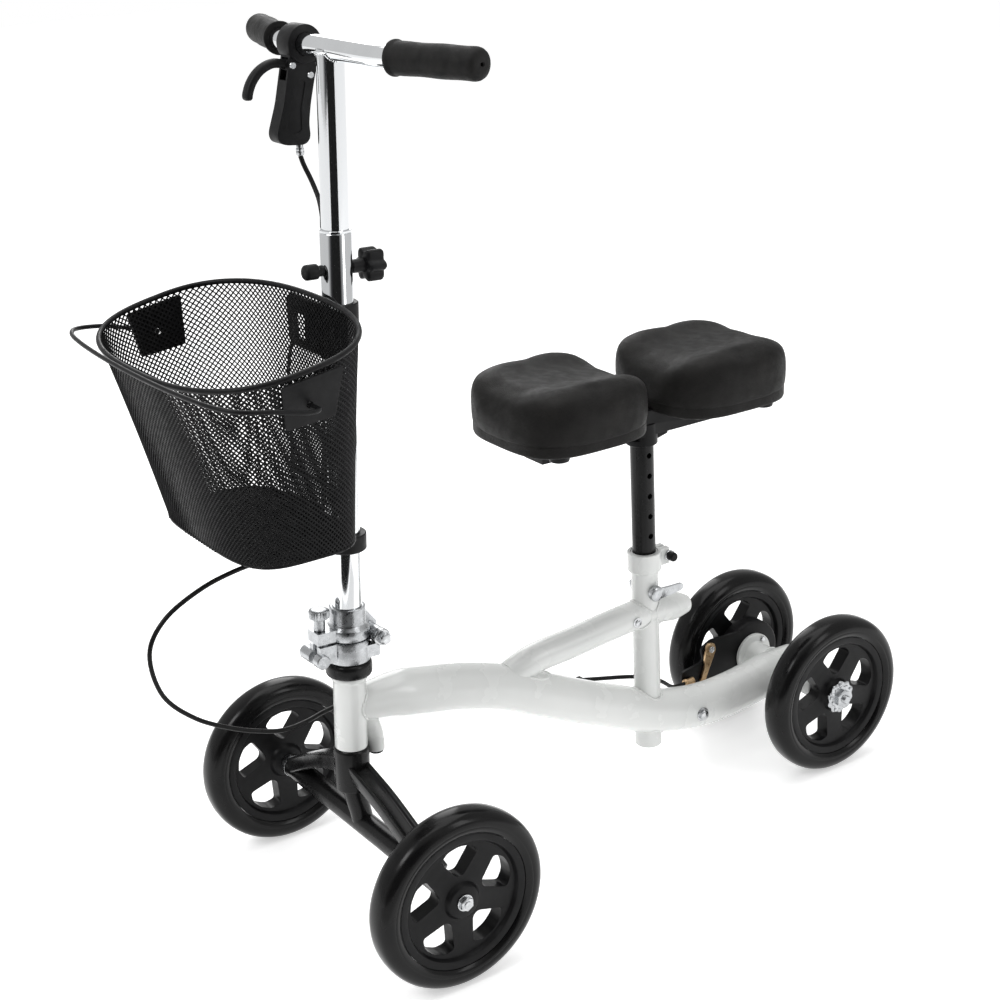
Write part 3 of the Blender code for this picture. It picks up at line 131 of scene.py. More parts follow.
def smooth_path(points, steps, closed=False):
    """Points along a Catmull-Rom curve through the given ones."""
    points = [Vector(p) for p in points]
    count = len(points)
    path = []
    for i in range(count if closed else count - 1):
        if closed:
            a, b, c, d = (points[(i + k) % count] for k in (-1, 0, 1, 2))
        else:
            b, c = points[i], points[i + 1]
            a = points[i - 1] if i > 0 else b + (b - c)
            d = points[i + 2] if i + 2 < count else c + (c - b)
        for step in range(steps):
            t = step / steps
            path.append(0.5 * (2 * b + (c - a) * t + (2 * a - 5 * b + 4 * c - d) * t * t
                + (3 * b - 3 * c + d - a) * t ** 3))
    if not closed:
        path.append(points[-1])
    return path


def path_frames(path, closed=False, side=None):
    """Point, across and up at each point of the path; without a side the frame turns as little as it can."""
    frames = []
    count = len(path)
    across = None
    for i, point in enumerate(path):
        before = path[i - 1] if (i > 0 or closed) else path[i]
        after = path[(i + 1) % count] if (i + 1 < count or closed) else path[i]
        along = (after - before).normalized()
        if side is not None:
            across = side - along * side.dot(along)
        elif across is None:
            across = along.orthogonal()
        else:
            across = across - along * across.dot(along)
        across = across.normalized()
        frames.append((point, across, along.cross(across).normalized()))
    return frames


def add_sweep(bm, path, sections, closed=False, side=None):
    """Loft (a, b) sections along a path."""
    path = [Vector(p) for p in path]
    rings = []
    for (point, across, up), section in zip(path_frames(path, closed, side), sections):
        rings.append([bm.verts.new(point + across * a + up * b) for a, b in section])
    for first, second in zip(rings, rings[1:]):
        bridge(bm, first, second)
    if closed:
        bridge(bm, rings[-1], rings[0])
    else:
        bm.faces.new(rings[0])
        bm.faces.new(rings[-1])


def circle(radius, sides=32):
    step = 2 * math.pi / sides
    return [(radius * math.cos(step * i), radius * math.sin(step * i)) for i in range(sides)]


def add_tube(bm, path, radius, sides=16, closed=False):
    radii = radius if isinstance(radius, list) else [radius] * len(path)
    add_sweep(bm, path, [circle(r, sides) for r in radii], closed)


def tube(path, radius, sides=16, closed=False):
    bm = bmesh.new()
    add_tube(bm, path, radius, sides, closed)
    return mesh_from(bm)


def add_box(bm, low, high):
    corners = [(x, y, z) for x in (low[0], high[0]) for y in (low[1], high[1]) for z in (low[2], high[2])]
    verts = [bm.verts.new(corner) for corner in corners]
    for face in ((0, 1, 3, 2), (4, 6, 7, 5), (0, 4, 5, 1), (2, 3, 7, 6), (0, 2, 6, 4), (1, 5, 7, 3)):
        bm.faces.new([verts[i] for i in face])


def box(low, high):
    bm = bmesh.new()
    add_box(bm, low, high)
    return mesh_from(bm)


def rounded_box(low, high, is_rounded, radius, segments):
    """Box as a bmesh, with the edges rounded that is_rounded picks by their two ends."""
    bm = bmesh.new()
    add_box(bm, low, high)
    edges = [e for e in bm.edges if is_rounded(e.verts[0].co, e.verts[1].co)]
    bmesh.ops.bevel(bm, geom=edges, offset=radius, segments=segments, affect="EDGES")
    return bm


def add_prism(bm, outline, low, high):
    near = [bm.verts.new((low, y, z)) for y, z in outline]
    far = [bm.verts.new((high, y, z)) for y, z in outline]
    bridge(bm, near, far)
    bm.faces.new(near)
    bm.faces.new(far)


def rounded(outline, radius, steps=4):
    """A closed (y, z) outline with its corners rounded."""
    points = []
    count = len(outline)
    for i in range(count):
        before, corner, after = (Vector(outline[(i + k) % count]) for k in (-1, 0, 1))
        first = min(radius, (before - corner).length * 0.45)
        second = min(radius, (after - corner).length * 0.45)
        start = corner + (before - corner).normalized() * first
        end = corner + (after - corner).normalized() * second
        for step in range(steps + 1):
            t = step / steps
            p = start * (1 - t) ** 2 + corner * 2 * t * (1 - t) + end * t * t
            points.append((p.x, p.y))
    return points


# ---------------------------------------------------------------- pieces


def as_mesh(shape):
    return shape if isinstance(shape, bpy.types.Mesh) else mesh_from(shape)


def piece(name, shape, body, material, matrix=AXLE, stands_for=(), bevel=0.0, segments=2):
    """One visible piece from a mesh or a bmesh: it rides on a body and stands for CAD nodes."""
    mesh = as_mesh(shape)
    mesh.name = name
    obj = bpy.data.objects.new(name, mesh)
    bpy.context.scene.collection.objects.link(obj)
    obj.matrix_world = matrix
    mesh.materials.clear()
    mesh.materials.append(material)
    if bevel:
        modifier = obj.modifiers.new("Bevel", "BEVEL")
        modifier.width = bevel
        modifier.segments = segments
        modifier.limit_method = "ANGLE"
        modifier.angle_limit = math.radians(35.0)
        modifier.harden_normals = True
    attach(obj, body)
    if stands_for:
        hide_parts(*stands_for)
    return obj


def solid(shape, cuts=(), joins=()):
    """The shape with others joined to it and then cut from it, as a new mesh."""
    base = bpy.data.objects.new("solid", as_mesh(shape))
    bpy.context.scene.collection.objects.link(base)
    tools = []
    for shapes, operation in ((joins, "UNION"), (cuts, "DIFFERENCE")):
        for other in shapes:
            tool = bpy.data.objects.new("tool", as_mesh(other))
            bpy.context.scene.collection.objects.link(tool)
            tools.append(tool)
            modifier = base.modifiers.new(operation.title(), "BOOLEAN")
            modifier.operation = operation
            modifier.solver = "EXACT"
            modifier.object = tool
    graph = bpy.context.evaluated_depsgraph_get()
    result = bpy.data.meshes.new_from_object(base.evaluated_get(graph))
    for used in tools + [base]:
        bpy.data.objects.remove(used, do_unlink=True)
    result.shade_smooth()
    result.set_sharp_from_angle(angle=math.radians(38))
    return result


# ---------------------------------------------------------------- materials

def node(tree, kind, **values):
    made = tree.nodes.new(kind)
    for key, value in values.items():
        if key in made.inputs:
            made.inputs[key].default_value = value
        else:
            setattr(made, key, value)
    return made


def noise(tree, scale, detail=3.0, stretch=(1.0, 1.0, 1.0)):
    """A noise texture in the piece's own coordinates, in features per metre."""
    coords = node(tree, "ShaderNodeTexCoord")
    mapping = node(tree, "ShaderNodeMapping")
    mapping.inputs["Scale"].default_value = stretch
    tree.links.new(coords.outputs["Object"], mapping.inputs["Vector"])
    texture = node(tree, "ShaderNodeTexNoise", Scale=scale, Detail=detail, Roughness=0.5)
    tree.links.new(mapping.outputs["Vector"], texture.inputs["Vector"])
    return texture.outputs["Fac"]


def ranged(tree, value, low, high, start=0.3, end=0.7):
    mapped = node(tree, "ShaderNodeMapRange")
    mapped.inputs["From Min"].default_value = start
    mapped.inputs["From Max"].default_value = end
    mapped.inputs["To Min"].default_value = low
    mapped.inputs["To Max"].default_value = high
    tree.links.new(value, mapped.inputs["Value"])
    return mapped.outputs["Result"]


def mixed(tree, factor, first, second):
    mix = node(tree, "ShaderNodeMix", data_type="RGBA")
    mix.inputs["A"].default_value = (*first, 1.0)
    mix.inputs["B"].default_value = (*second, 1.0)
    tree.links.new(factor, mix.inputs["Factor"])
    return mix.outputs["Result"]


def bump(tree, height, strength, distance, normal=None):
    made = node(tree, "ShaderNodeBump", Strength=strength, Distance=distance)
    tree.links.new(height, made.inputs["Height"])
    if normal is not None:
        tree.links.new(normal, made.inputs["Normal"])
    return made.outputs["Normal"]


def material(name, dark, light, rough, metallic=0.0, tint_scale=40.0, rough_scale=60.0, stretch=(1, 1, 1),
        fine_scale=0.0, fine=0.0, fine_depth=0.0002, coat=0.0, sheen=0.0, specular=0.5, wide=0.0):
    """Principled material whose colour, roughness and surface all vary over the piece."""
    made = bpy.data.materials.new(name)
    made.use_nodes = True
    tree = made.node_tree
    shader = tree.nodes["Principled BSDF"]
    shader.inputs["Metallic"].default_value = metallic
    shader.inputs["Coat Weight"].default_value = coat
    shader.inputs["Coat Roughness"].default_value = 0.22
    shader.inputs["Sheen Weight"].default_value = sheen
    shader.inputs["Sheen Roughness"].default_value = 0.45
    shader.inputs["Specular IOR Level"].default_value = specular
    tint = ranged(tree, noise(tree, tint_scale, 4.0, stretch), 0.0, 1.0)
    tree.links.new(mixed(tree, tint, dark, light), shader.inputs["Base Color"])
    tree.links.new(ranged(tree, noise(tree, rough_scale, 5.0, stretch), rough[0], rough[1]),
        shader.inputs["Roughness"])
    normal = None
    if wide:
        normal = bump(tree, noise(tree, tint_scale * 1.7, 2.0, stretch), wide, 0.0006)
    if fine:
        normal = bump(tree, noise(tree, fine_scale, 2.0, stretch), fine, fine_depth, normal)
    if normal is not None:
        tree.links.new(normal, shader.inputs["Normal"])
    return made


def leather_material():
    """Black leatherette: a net of small pebbled cells, wide soft creases and a little sheen."""
    made = material("leatherette", (0.0055, 0.0052, 0.005), (0.0125, 0.0118, 0.011), (0.44, 0.6),
        tint_scale=25.0, rough_scale=90.0, sheen=0.01, specular=0.13)
    tree = made.node_tree
    shader = tree.nodes["Principled BSDF"]
    coords = node(tree, "ShaderNodeTexCoord")
    cells = node(tree, "ShaderNodeTexVoronoi", Scale=620.0, feature="DISTANCE_TO_EDGE")
    tree.links.new(coords.outputs["Object"], cells.inputs["Vector"])
    pebble = ranged(tree, cells.outputs["Distance"], 0.0, 1.0, 0.0, 0.28)
    wide = bump(tree, noise(tree, 45.0, 3.0), 0.35, 0.0012)
    tree.links.new(bump(tree, pebble, 0.45, 0.0004, wide), shader.inputs["Normal"])
    return made


WHITE = material("white_paint", (0.7, 0.715, 0.7), (0.76, 0.77, 0.755), (0.18, 0.32), tint_scale=9.0,
    rough_scale=28.0, fine_scale=420.0, fine=0.05, fine_depth=0.0002, coat=0.45)
BLACK_GLOSS = material("black_enamel", (0.005, 0.005, 0.0052), (0.009, 0.009, 0.0092), (0.16, 0.32),
    tint_scale=30.0, rough_scale=45.0, fine_scale=380.0, fine=0.08, coat=0.1, specular=0.15)
BLACK_SATIN = material("black_satin_paint", (0.005, 0.005, 0.0055), (0.011, 0.011, 0.0115), (0.32, 0.48),
    tint_scale=60.0, rough_scale=120.0, fine_scale=800.0, fine=0.16, specular=0.14)
PLASTIC = material("moulded_black_plastic", (0.006, 0.006, 0.0065), (0.012, 0.012, 0.0125), (0.36, 0.54),
    tint_scale=50.0, rough_scale=140.0, fine_scale=1500.0, fine=0.28, fine_depth=0.00025, specular=0.15)
RIM_PLASTIC = material("rim_plastic", (0.004, 0.004, 0.0044), (0.009, 0.009, 0.0094), (0.28, 0.44),
    tint_scale=50.0, rough_scale=110.0, fine_scale=1200.0, fine=0.14, specular=0.14)
TYRE = material("polyurethane_tyre", (0.0035, 0.0035, 0.0038), (0.007, 0.0068, 0.0068), (0.12, 0.26),
    tint_scale=35.0, rough_scale=50.0, fine_scale=500.0, fine=0.07, coat=0.08, wide=0.05, specular=0.15)
RUBBER = material("grip_rubber", (0.006, 0.006, 0.006), (0.013, 0.0125, 0.012), (0.5, 0.66), tint_scale=80.0,
    rough_scale=150.0, fine_scale=1100.0, fine=0.45, fine_depth=0.0004, sheen=0.01, specular=0.14)
CABLE = material("cable_sleeve", (0.005, 0.005, 0.005), (0.01, 0.01, 0.01), (0.26, 0.4), tint_scale=80.0,
    rough_scale=150.0, fine_scale=900.0, fine=0.12, specular=0.15)
CHROME = material("chrome_plate", (0.74, 0.755, 0.77), (0.82, 0.835, 0.845), (0.035, 0.1), 1.0,
    tint_scale=14.0, rough_scale=30.0, stretch=(1, 1, 0.15), fine_scale=260.0, fine=0.02)
ZINC = material("zinc_casting", (0.4, 0.41, 0.42), (0.5, 0.5125, 0.525), (0.2, 0.38), 1.0, tint_scale=120.0,
    rough_scale=180.0, fine_scale=900.0, fine=0.25, fine_depth=0.0003, wide=0.25)
STEEL = material("plated_steel", (0.42, 0.43, 0.44), (0.62, 0.63, 0.64), (0.16, 0.32), 1.0, tint_scale=160.0,
    rough_scale=220.0, fine_scale=1400.0, fine=0.14)
BRASS = material("brass", (0.36, 0.23, 0.12), (0.56, 0.4, 0.24), (0.22, 0.42), 1.0, tint_scale=150.0,
    rough_scale=200.0, fine_scale=1200.0, fine=0.2)
WIRE = material("coated_wire_mesh", (0.004, 0.004, 0.0045), (0.01, 0.01, 0.0105), (0.4, 0.56),
    tint_scale=90.0, rough_scale=160.0, specular=0.1)
LEATHER = leather_material()


# ---------------------------------------------------------------- stage

def build_stage():
    camera_data = bpy.data.cameras.new("camera")
    camera_data.sensor_width = 36.0
    camera_data.lens = 67.088
    camera_data.clip_start = 0.05
    camera = bpy.data.objects.new("camera", camera_data)
    bpy.context.scene.collection.objects.link(camera)
    right = Vector((0.56728119, 0.82268775, -0.03710692))
    up = Vector((-0.27393602, 0.23100082, 0.93359396))
    back = Vector((0.77662804, -0.51944537, 0.35640622))
    turn = Matrix((right, up, back)).transposed().to_4x4()
    camera.matrix_world = Matrix.Translation((1.58798143, -1.11204823, 1.16018321)) @ turn
    bpy.context.scene.camera = camera

    bm = bmesh.new()
    corners = [bm.verts.new((x, y, -0.0004)) for x, y in ((-9, -9), (9, -9), (9, 9), (-9, 9))]
    bm.faces.new(corners)
    floor = bpy.data.objects.new("floor", mesh_from(bm))
    bpy.context.scene.collection.objects.link(floor)
    pale = bpy.data.materials.new("pale_floor")
    pale.use_nodes = True
    shader = pale.node_tree.nodes["Principled BSDF"]
    shader.inputs["Base Color"].default_value = (0.93, 0.93, 0.93, 1.0)
    shader.inputs["Emission Color"].default_value = (1.0, 1.0, 1.0, 1.0)
    shader.inputs["Emission Strength"].default_value = 0.46
    shader.inputs["Roughness"].default_value = 0.9
    shader.inputs["Specular IOR Level"].default_value = 0.1
    floor.data.materials.append(pale)

    bpy.context.scene.view_settings.view_transform = "Standard"
    build_world()
    area_light("key", (0.2, -2.4, 2.6), (0.0, 0.0, 0.4), (1.4, 1.0), 32.0)
    area_light("fill", (2.6, 1.2, 1.8), (0.0, 0.1, 0.4), (0.7, 1.8), 13.0)
    area_light("top", (-0.3, 0.2, 3.0), (0.0, 0.0, 0.3), (2.6, 2.6), 38.0)
    area_light("rim", (-2.2, 0.9, 1.6), (0.0, 0.0, 0.5), (0.8, 1.8), 13.0)
    build_card("grey_card", ((0.62, 0.002), (1.22, 0.004)), 0.8)
    build_card("black_card", ((1.25, 0.03), (1.45, 0.25), (1.6, 0.75), (1.62, 1.5)), 0.012)


def area_light(name, place, target, size, power):
    data = bpy.data.lights.new(name, "AREA")
    data.shape = "RECTANGLE"
    data.size, data.size_y = size
    data.energy = power
    light = bpy.data.objects.new(name, data)
    bpy.context.scene.collection.objects.link(light)
    light.location = place
    light.rotation_mode = "QUATERNION"
    light.rotation_quaternion = (Vector(target) - Vector(place)).to_track_quat("-Z", "Y")


def build_world():
    """White studio walls all round, with a dark end of the room beside the camera."""
    world = bpy.data.worlds.new("studio")
    bpy.context.scene.world = world
    world.use_nodes = True
    tree = world.node_tree
    background = tree.nodes["Background"]
    coords = node(tree, "ShaderNodeTexCoord")
    toward = node(tree, "ShaderNodeVectorMath", operation="DOT_PRODUCT")
    toward.inputs[1].default_value = (0.81, -0.586, 0.0)
    tree.links.new(coords.outputs["Generated"], toward.inputs[0])
    ramp = node(tree, "ShaderNodeValToRGB")
    ramp.color_ramp.elements[0].position = 0.55
    ramp.color_ramp.elements[0].color = (0.66, 0.66, 0.66, 1.0)
    ramp.color_ramp.elements[1].position = 0.8
    ramp.color_ramp.elements[1].color = (0.03, 0.03, 0.032, 1.0)
    tree.links.new(toward.outputs["Value"], ramp.inputs["Fac"])
    paths = node(tree, "ShaderNodeLightPath")
    seen = node(tree, "ShaderNodeMix", data_type="RGBA")
    seen.inputs["B"].default_value = (1.0, 1.0, 1.0, 1.0)
    tree.links.new(paths.outputs["Is Camera Ray"], seen.inputs["Factor"])
    tree.links.new(ramp.outputs["Color"], seen.inputs["A"])
    tree.links.new(seen.outputs["Result"], background.inputs["Color"])
    background.inputs["Strength"].default_value = 1.0


def build_card(name, strips, shade):
    """Card on the camera's side of the floor that only reflections see, as bands in the chrome."""
    across = Vector((0.586, 0.81, 0.0))
    ahead = Vector((0.81, -0.586, 0.0))
    bm = bmesh.new()
    rows = []
    for reach, height in strips:
        middle = ahead * reach + Vector((0.0, 0.0, height))
        rows.append([bm.verts.new(middle + across * side) for side in (-0.85, 0.85)])
    for first, second in zip(rows, rows[1:]):
        bridge(bm, first, second, closed=False)
    card = bpy.data.objects.new(name, mesh_from(bm))
    bpy.context.scene.collection.objects.link(card)
    paper = bpy.data.materials.new(name)
    paper.use_nodes = True
    shader = paper.node_tree.nodes["Principled BSDF"]
    shader.inputs["Base Color"].default_value = (shade, shade, shade, 1.0)
    shader.inputs["Roughness"].default_value = 1.0
    shader.inputs["Specular IOR Level"].default_value = 0.0
    card.data.materials.append(paper)
    card.visible_camera = False
    card.visible_diffuse = False
    card.visible_shadow = False
    card.visible_transmission = False


# ---------------------------------------------------------------- wheels

def tyre_mesh():
    """Slick tyre: crowned tread, rounded shoulders, a moulded line on each side and a bead at the rim."""
    half = [(0.0766, 0.0148), (0.0785, 0.0166), (0.0815, 0.0178), (0.0835, 0.0183), (0.0842, 0.018),
        (0.085, 0.0183), (0.0885, 0.018), (0.092, 0.0168), (0.095, 0.0149), (0.0974, 0.0122), (0.099, 0.0088),
        (0.0998, 0.0045), (0.1, 0.0)]
    profile = half + [(r, -x) for r, x in reversed(half[:-1])]
    return lathe(profile, 128, closed=True, axis="X")


def rim_mesh():
    """Five-spoke rim: dished web with rounded windows, hub boss and a stepped outer ring."""
    half = [(0.076, 0.0144), (0.07, 0.0144), (0.0678, 0.0136), (0.0664, 0.0112), (0.0655, 0.0092),
        (0.024, 0.0082), (0.0212, 0.009), (0.0196, 0.0112), (0.018, 0.014), (0.017, 0.0145), (0.0066, 0.0145)]
    profile = half + [(r, -x) for r, x in reversed(half)]
    blank = lathe(profile, 80, closed=True, axis="X")
    windows = []
    corners = [(0.0282, -8.0), (0.0282, 8.0), (0.056, 24.0), (0.0618, 13.0), (0.0628, 0.0), (0.0618, -13.0),
        (0.056, -24.0)]
    for i in range(5):
        middle = math.radians(90 + 72 * i)
        outline = []
        for radius, degrees in corners:
            angle = middle + math.radians(degrees)
            outline.append((radius * math.cos(angle), radius * math.sin(angle)))
        bm = bmesh.new()
        add_prism(bm, rounded(outline, 0.0042, 4), -0.02, 0.02)
        windows.append(mesh_from(bm))
    return solid(blank, cuts=windows)


def build_wheels():
    tyre, rim = tyre_mesh(), rim_mesh()
    places = {"front_left": (FRONT_WHEEL_X, 0.0), "front_right": (-FRONT_WHEEL_X, 0.0),
        "rear_left": (REAR_WHEEL_X, WHEELBASE), "rear_right": (-REAR_WHEEL_X, WHEELBASE)}
    for place, (x, y) in places.items():
        centre = at(x, y, AXLE_HEIGHT)
        body = "wheel_" + place
        piece("tire_" + place, tyre.copy(), body, TYRE, centre, ["tyre_" + place])
        piece("spokes_" + place, rim.copy(), body, RIM_PLASTIC, centre, ["rim_" + place], 0.0008, 2)


def hex_head(bm, size, start, end, axis="X", offset=(0.0, 0.0, 0.0)):
    """Six-sided head or nut, size across its corners, with its outer edge turned down."""
    sign = 1 if end > start else -1
    add_lathe(bm, [(size, start), (size, end - sign * 0.0006), (size - 0.001, end)], 6, axis=axis,
        offset=offset)


def thread(bm, radius, start, end, axis="X", offset=(0.0, 0.0, 0.0)):
    """Threaded end of a stud."""
    sign = 1 if end > start else -1
    turns = max(int(abs(end - start) / 0.001), 1)
    profile = []
    for i in range(turns):
        profile += [(radius, start + sign * i * 0.001), (radius - 0.0005, start + sign * (i + 0.5) * 0.001)]
    profile += [(radius - 0.0012, end)]
    add_lathe(bm, profile, 24, axis=axis, offset=offset)


def build_axles():
    for place, sign in (("left", 1), ("right", -1)):
        bm = bmesh.new()
        stub = [(0.008, 0.14), (0.0103, 0.141), (0.0103, 0.1588), (0.0135, 0.1588), (0.0135, 0.164),
            (0.013, 0.165), (0.0115, 0.168), (0.0085, 0.1732), (0.006, 0.1732), (0.006, 0.2029),
            (0.009, 0.2029), (0.0094, 0.2033), (0.0094, 0.204), (0.009, 0.2045), (0.006, 0.2045)]
        add_lathe(bm, [(r, sign * x) for r, x in stub], 40, axis="X")
        hex_head(bm, 0.008, sign * 0.2044, sign * 0.2088)
        add_lathe(bm, [(0.0042, sign * 0.208), (0.0042, sign * 0.2096), (0.0034, sign * 0.21)], 24, axis="X")
        piece("axle_" + place, bm, "steering", STEEL, FRONT_AXLE, ["front_axle_" + place], 0.0003)
    bm = bmesh.new()
    spindle = [(0.0085, -0.111), (0.011, -0.1105), (0.011, -0.107), (0.006, -0.107), (0.006, 0.107),
        (0.006, 0.108)]
    add_lathe(bm, spindle, 40, axis="X")
    hex_head(bm, 0.0095, -0.1105, -0.1165)
    thread(bm, 0.0058, -0.116, -0.119)
    piece("rear_spindle", bm, "frame", STEEL, REAR_AXLE, ["rear_axle"])
    bm = bmesh.new()
    add_lathe(bm, [(0.0165, 0.1066), (0.0196, 0.107), (0.0202, 0.1078), (0.0202, 0.1092), (0.019, 0.11),
        (0.0155, 0.1104), (0.0148, 0.1116), (0.01, 0.112)], 120, axis="X", lobes=10, depth=0.0011)
    for i in range(5):
        angle = 2 * math.pi * i / 5 + 0.4
        place = (0.0, 0.0168 * math.cos(angle), 0.0168 * math.sin(angle))
        hex_head(bm, 0.0028, 0.1096, 0.112, offset=place)
    hex_head(bm, 0.0118, 0.1118, 0.1168)
    thread(bm, 0.0057, 0.116, 0.1215)
    piece("rear_hub_nut", bm, "frame", ZINC, REAR_AXLE, [], 0.0002)


# ---------------------------------------------------------------- frame

MAIN_TUBE_ROUTE = [(-0.004, 0.2443), (0.014, 0.2438), (0.038, 0.243), (0.057, 0.241), (0.095, 0.233),
    (0.135, 0.224), (0.19, 0.206), (0.243, 0.18), (0.3, 0.152), (0.36, 0.125), (0.4, 0.108), (0.453, 0.094),
    (0.5, 0.0885), (0.551, 0.091), (0.595, 0.0975), (0.64, 0.104)]
BRACE_ROUTE = [(0.192, 0.212), (0.215, 0.221), (0.24, 0.228), (0.285, 0.231), (0.343, 0.2365), (0.4, 0.24),
    (0.44, 0.236), (0.462, 0.2325)]
MAIN_TUBE_RADIUS, HEAD_TUBE_RADIUS = 0.0265, 0.0178


def main_tube_radius(y):
    """The tube swells behind the head tube and narrows again at its rear end."""
    start = min(max((0.014 - y) / 0.018, 0.0), 1.0)
    taper = min(max((y - 0.014) / 0.045, 0.0), 1.0)
    end = min(max((y - 0.595) / 0.045, 0.0), 1.0)
    return 0.0205 - 0.0045 * start + 0.006 * taper - 0.006 * end


def build_frame():
    path = smooth_path([(0.0, y, z) for y, z in MAIN_TUBE_ROUTE], 5)
    bm = bmesh.new()
    add_tube(bm, path, [main_tube_radius(p.y) for p in path], 56)
    tube_mesh = mesh_from(bm)
    bolt_hole = rod(0.0075, 0.024, 0.03, 40, "X", Matrix.Translation((0.0, 0.467, 0.0915)))
    head_bore = rod(0.0155, 0.15, 0.35, matrix=STEM_FROM_AXLE)
    mast_bore = rod(0.0151, 0.03, 0.3, matrix=SEAT_FROM_AXLE)
    piece("frame_tube", solid(tube_mesh, cuts=[bolt_hole, head_bore, mast_bore.copy()]), "frame", WHITE, AXLE,
        ["main_tube"])

    head = [(0.0131, 0.198), (0.0168, 0.198), (0.0175, 0.1983), (HEAD_TUBE_RADIUS, 0.199),
        (HEAD_TUBE_RADIUS, 0.2755),
        (0.0181, 0.2772), (0.019, 0.2784), (0.0195, 0.2795), (0.0195, 0.283), (0.019, 0.2837),
        (0.0131, 0.2837)]
    piece("head_shell", lathe(head, 80, closed=True), "frame", WHITE, STEM, ["head_tube"])

    path = smooth_path([(0.0, y, z) for y, z in BRACE_ROUTE], 5)
    radii = [0.0175 - 0.0065 * min(max((p.y - 0.44) / 0.022, 0.0), 1.0) ** 1.3 for p in path]
    piece("brace_tube", solid(tube(path, radii, 48), cuts=[mast_bore]), "frame", WHITE, AXLE, ["upper_brace"])

    mast = lathe(wall(0.0142, 0.016, 0.064, 0.318, 0.0007), 64, closed=True)
    piece("seat_mast", mast, "frame", WHITE, SEAT, ["seat_tube"])

    sleeve = [(0.0068, -0.053), (0.0262, -0.053), (0.027, -0.0522), (0.027, -0.0488), (0.0262, -0.048),
        (0.0185, -0.0478), (0.0173, -0.0468), (0.017, -0.045), (0.017, 0.0695), (0.0162, 0.071),
        (0.015, 0.072), (0.0068, 0.072)]
    piece("axle_sleeve", lathe(sleeve, 80, closed=True, axis="X"), "frame", WHITE, REAR_AXLE,
        ["rear_axle_sleeve"])

    bm = bmesh.new()
    for degrees in (55, 215):
        angle = math.radians(degrees)
        place = (0.0, 0.0222 * math.cos(angle), 0.0222 * math.sin(angle))
        add_lathe(bm, [(0.0034, -0.0482), (0.0034, -0.0462), (0.0026, -0.0452)], 24, axis="X", offset=place)
    piece("flange_screws", bm, "frame", STEEL, REAR_AXLE)

    build_welds()
    build_frame_hardware()


def route_height(route, y):
    """Height of a (y, z) route where it passes y."""
    for (y0, z0), (y1, z1) in zip(route, route[1:]):
        if y0 <= y <= y1:
            return z0 + (z1 - z0) * (y - y0) / (y1 - y0)


def weld(name, points, width=0.0019):
    """Weld bead: a closed bead whose ripples follow the welder's steps, sunk halfway into the tubes."""
    total = sum((points[i] - points[i - 1]).length for i in range(len(points)))
    count = max(int(total / 0.0011), 24)
    path = smooth_path(points, max(count // len(points), 1), closed=True)
    radii = [width * (1.0 + 0.13 * math.sin(2 * math.pi * i / 4)) for i in range(len(path))]
    piece(name, tube(path, radii, 10, closed=True), "frame", WHITE, AXLE)


def build_welds():
    # Main tube against the head tube: each line along the tube, followed to where it leaves the head tube.
    ring = []
    for c, s in circle(1.0, 48):
        y = -0.004
        while True:
            x, rise = main_tube_radius(y) * c, main_tube_radius(y) * s
            axis_y = STEM_FOOT_Y + math.tan(STEM_LEAN) * (0.244 + rise)
            if math.hypot(x, y - axis_y) > HEAD_TUBE_RADIUS:
                break
            y += 0.0005
        ring.append(Vector((x, y, 0.244 + rise)))
    weld("weld_head", ring, 0.0017)

    # Seat tube through the main tube and through the brace.
    for name, side in (("weld_mast_top", 1), ("weld_mast_bottom", -1)):
        axis_y = SEAT_FOOT_Y + math.tan(SEAT_LEAN) * (0.108 + side * MAIN_TUBE_RADIUS)
        ring = []
        for x, dy in circle(0.017, 40):
            height = route_height(MAIN_TUBE_ROUTE, axis_y + dy)
            arch = math.sqrt(MAIN_TUBE_RADIUS ** 2 - x ** 2)
            ring.append(Vector((x, axis_y + dy, height + side * arch * 1.02)))
        weld(name, ring)
    for name, side in (("weld_brace_front", -1), ("weld_brace_rear", 1)):
        ring = []
        for c, s in circle(1.0, 40):
            x, rise = max(min(0.0172 * c, 0.0158), -0.0158), 0.0176 * s
            reach = math.sqrt(0.0164 ** 2 - x ** 2)
            ring.append(Vector((x, 0.4 + side * reach, 0.2392 + rise)))
        weld(name, ring)

    # Brace on top of the main tube.
    ring = []
    for c, s in circle(1.0, 48):
        x, y = 0.0165 * c, 0.226 + 0.03 * s
        height = route_height(MAIN_TUBE_ROUTE, y)
        ring.append(Vector((x, y, height + math.sqrt(MAIN_TUBE_RADIUS ** 2 - x * x) * 1.09)))
    weld("weld_brace_foot", ring)

    # Axle sleeve across the tube's rear end.
    for name, x in (("weld_sleeve_left", 0.0205), ("weld_sleeve_right", -0.0205)):
        ring = [Vector((x, WHEELBASE + y, AXLE_HEIGHT + z)) for y, z in circle(0.0174, 36)]
        weld(name, ring, 0.0017)


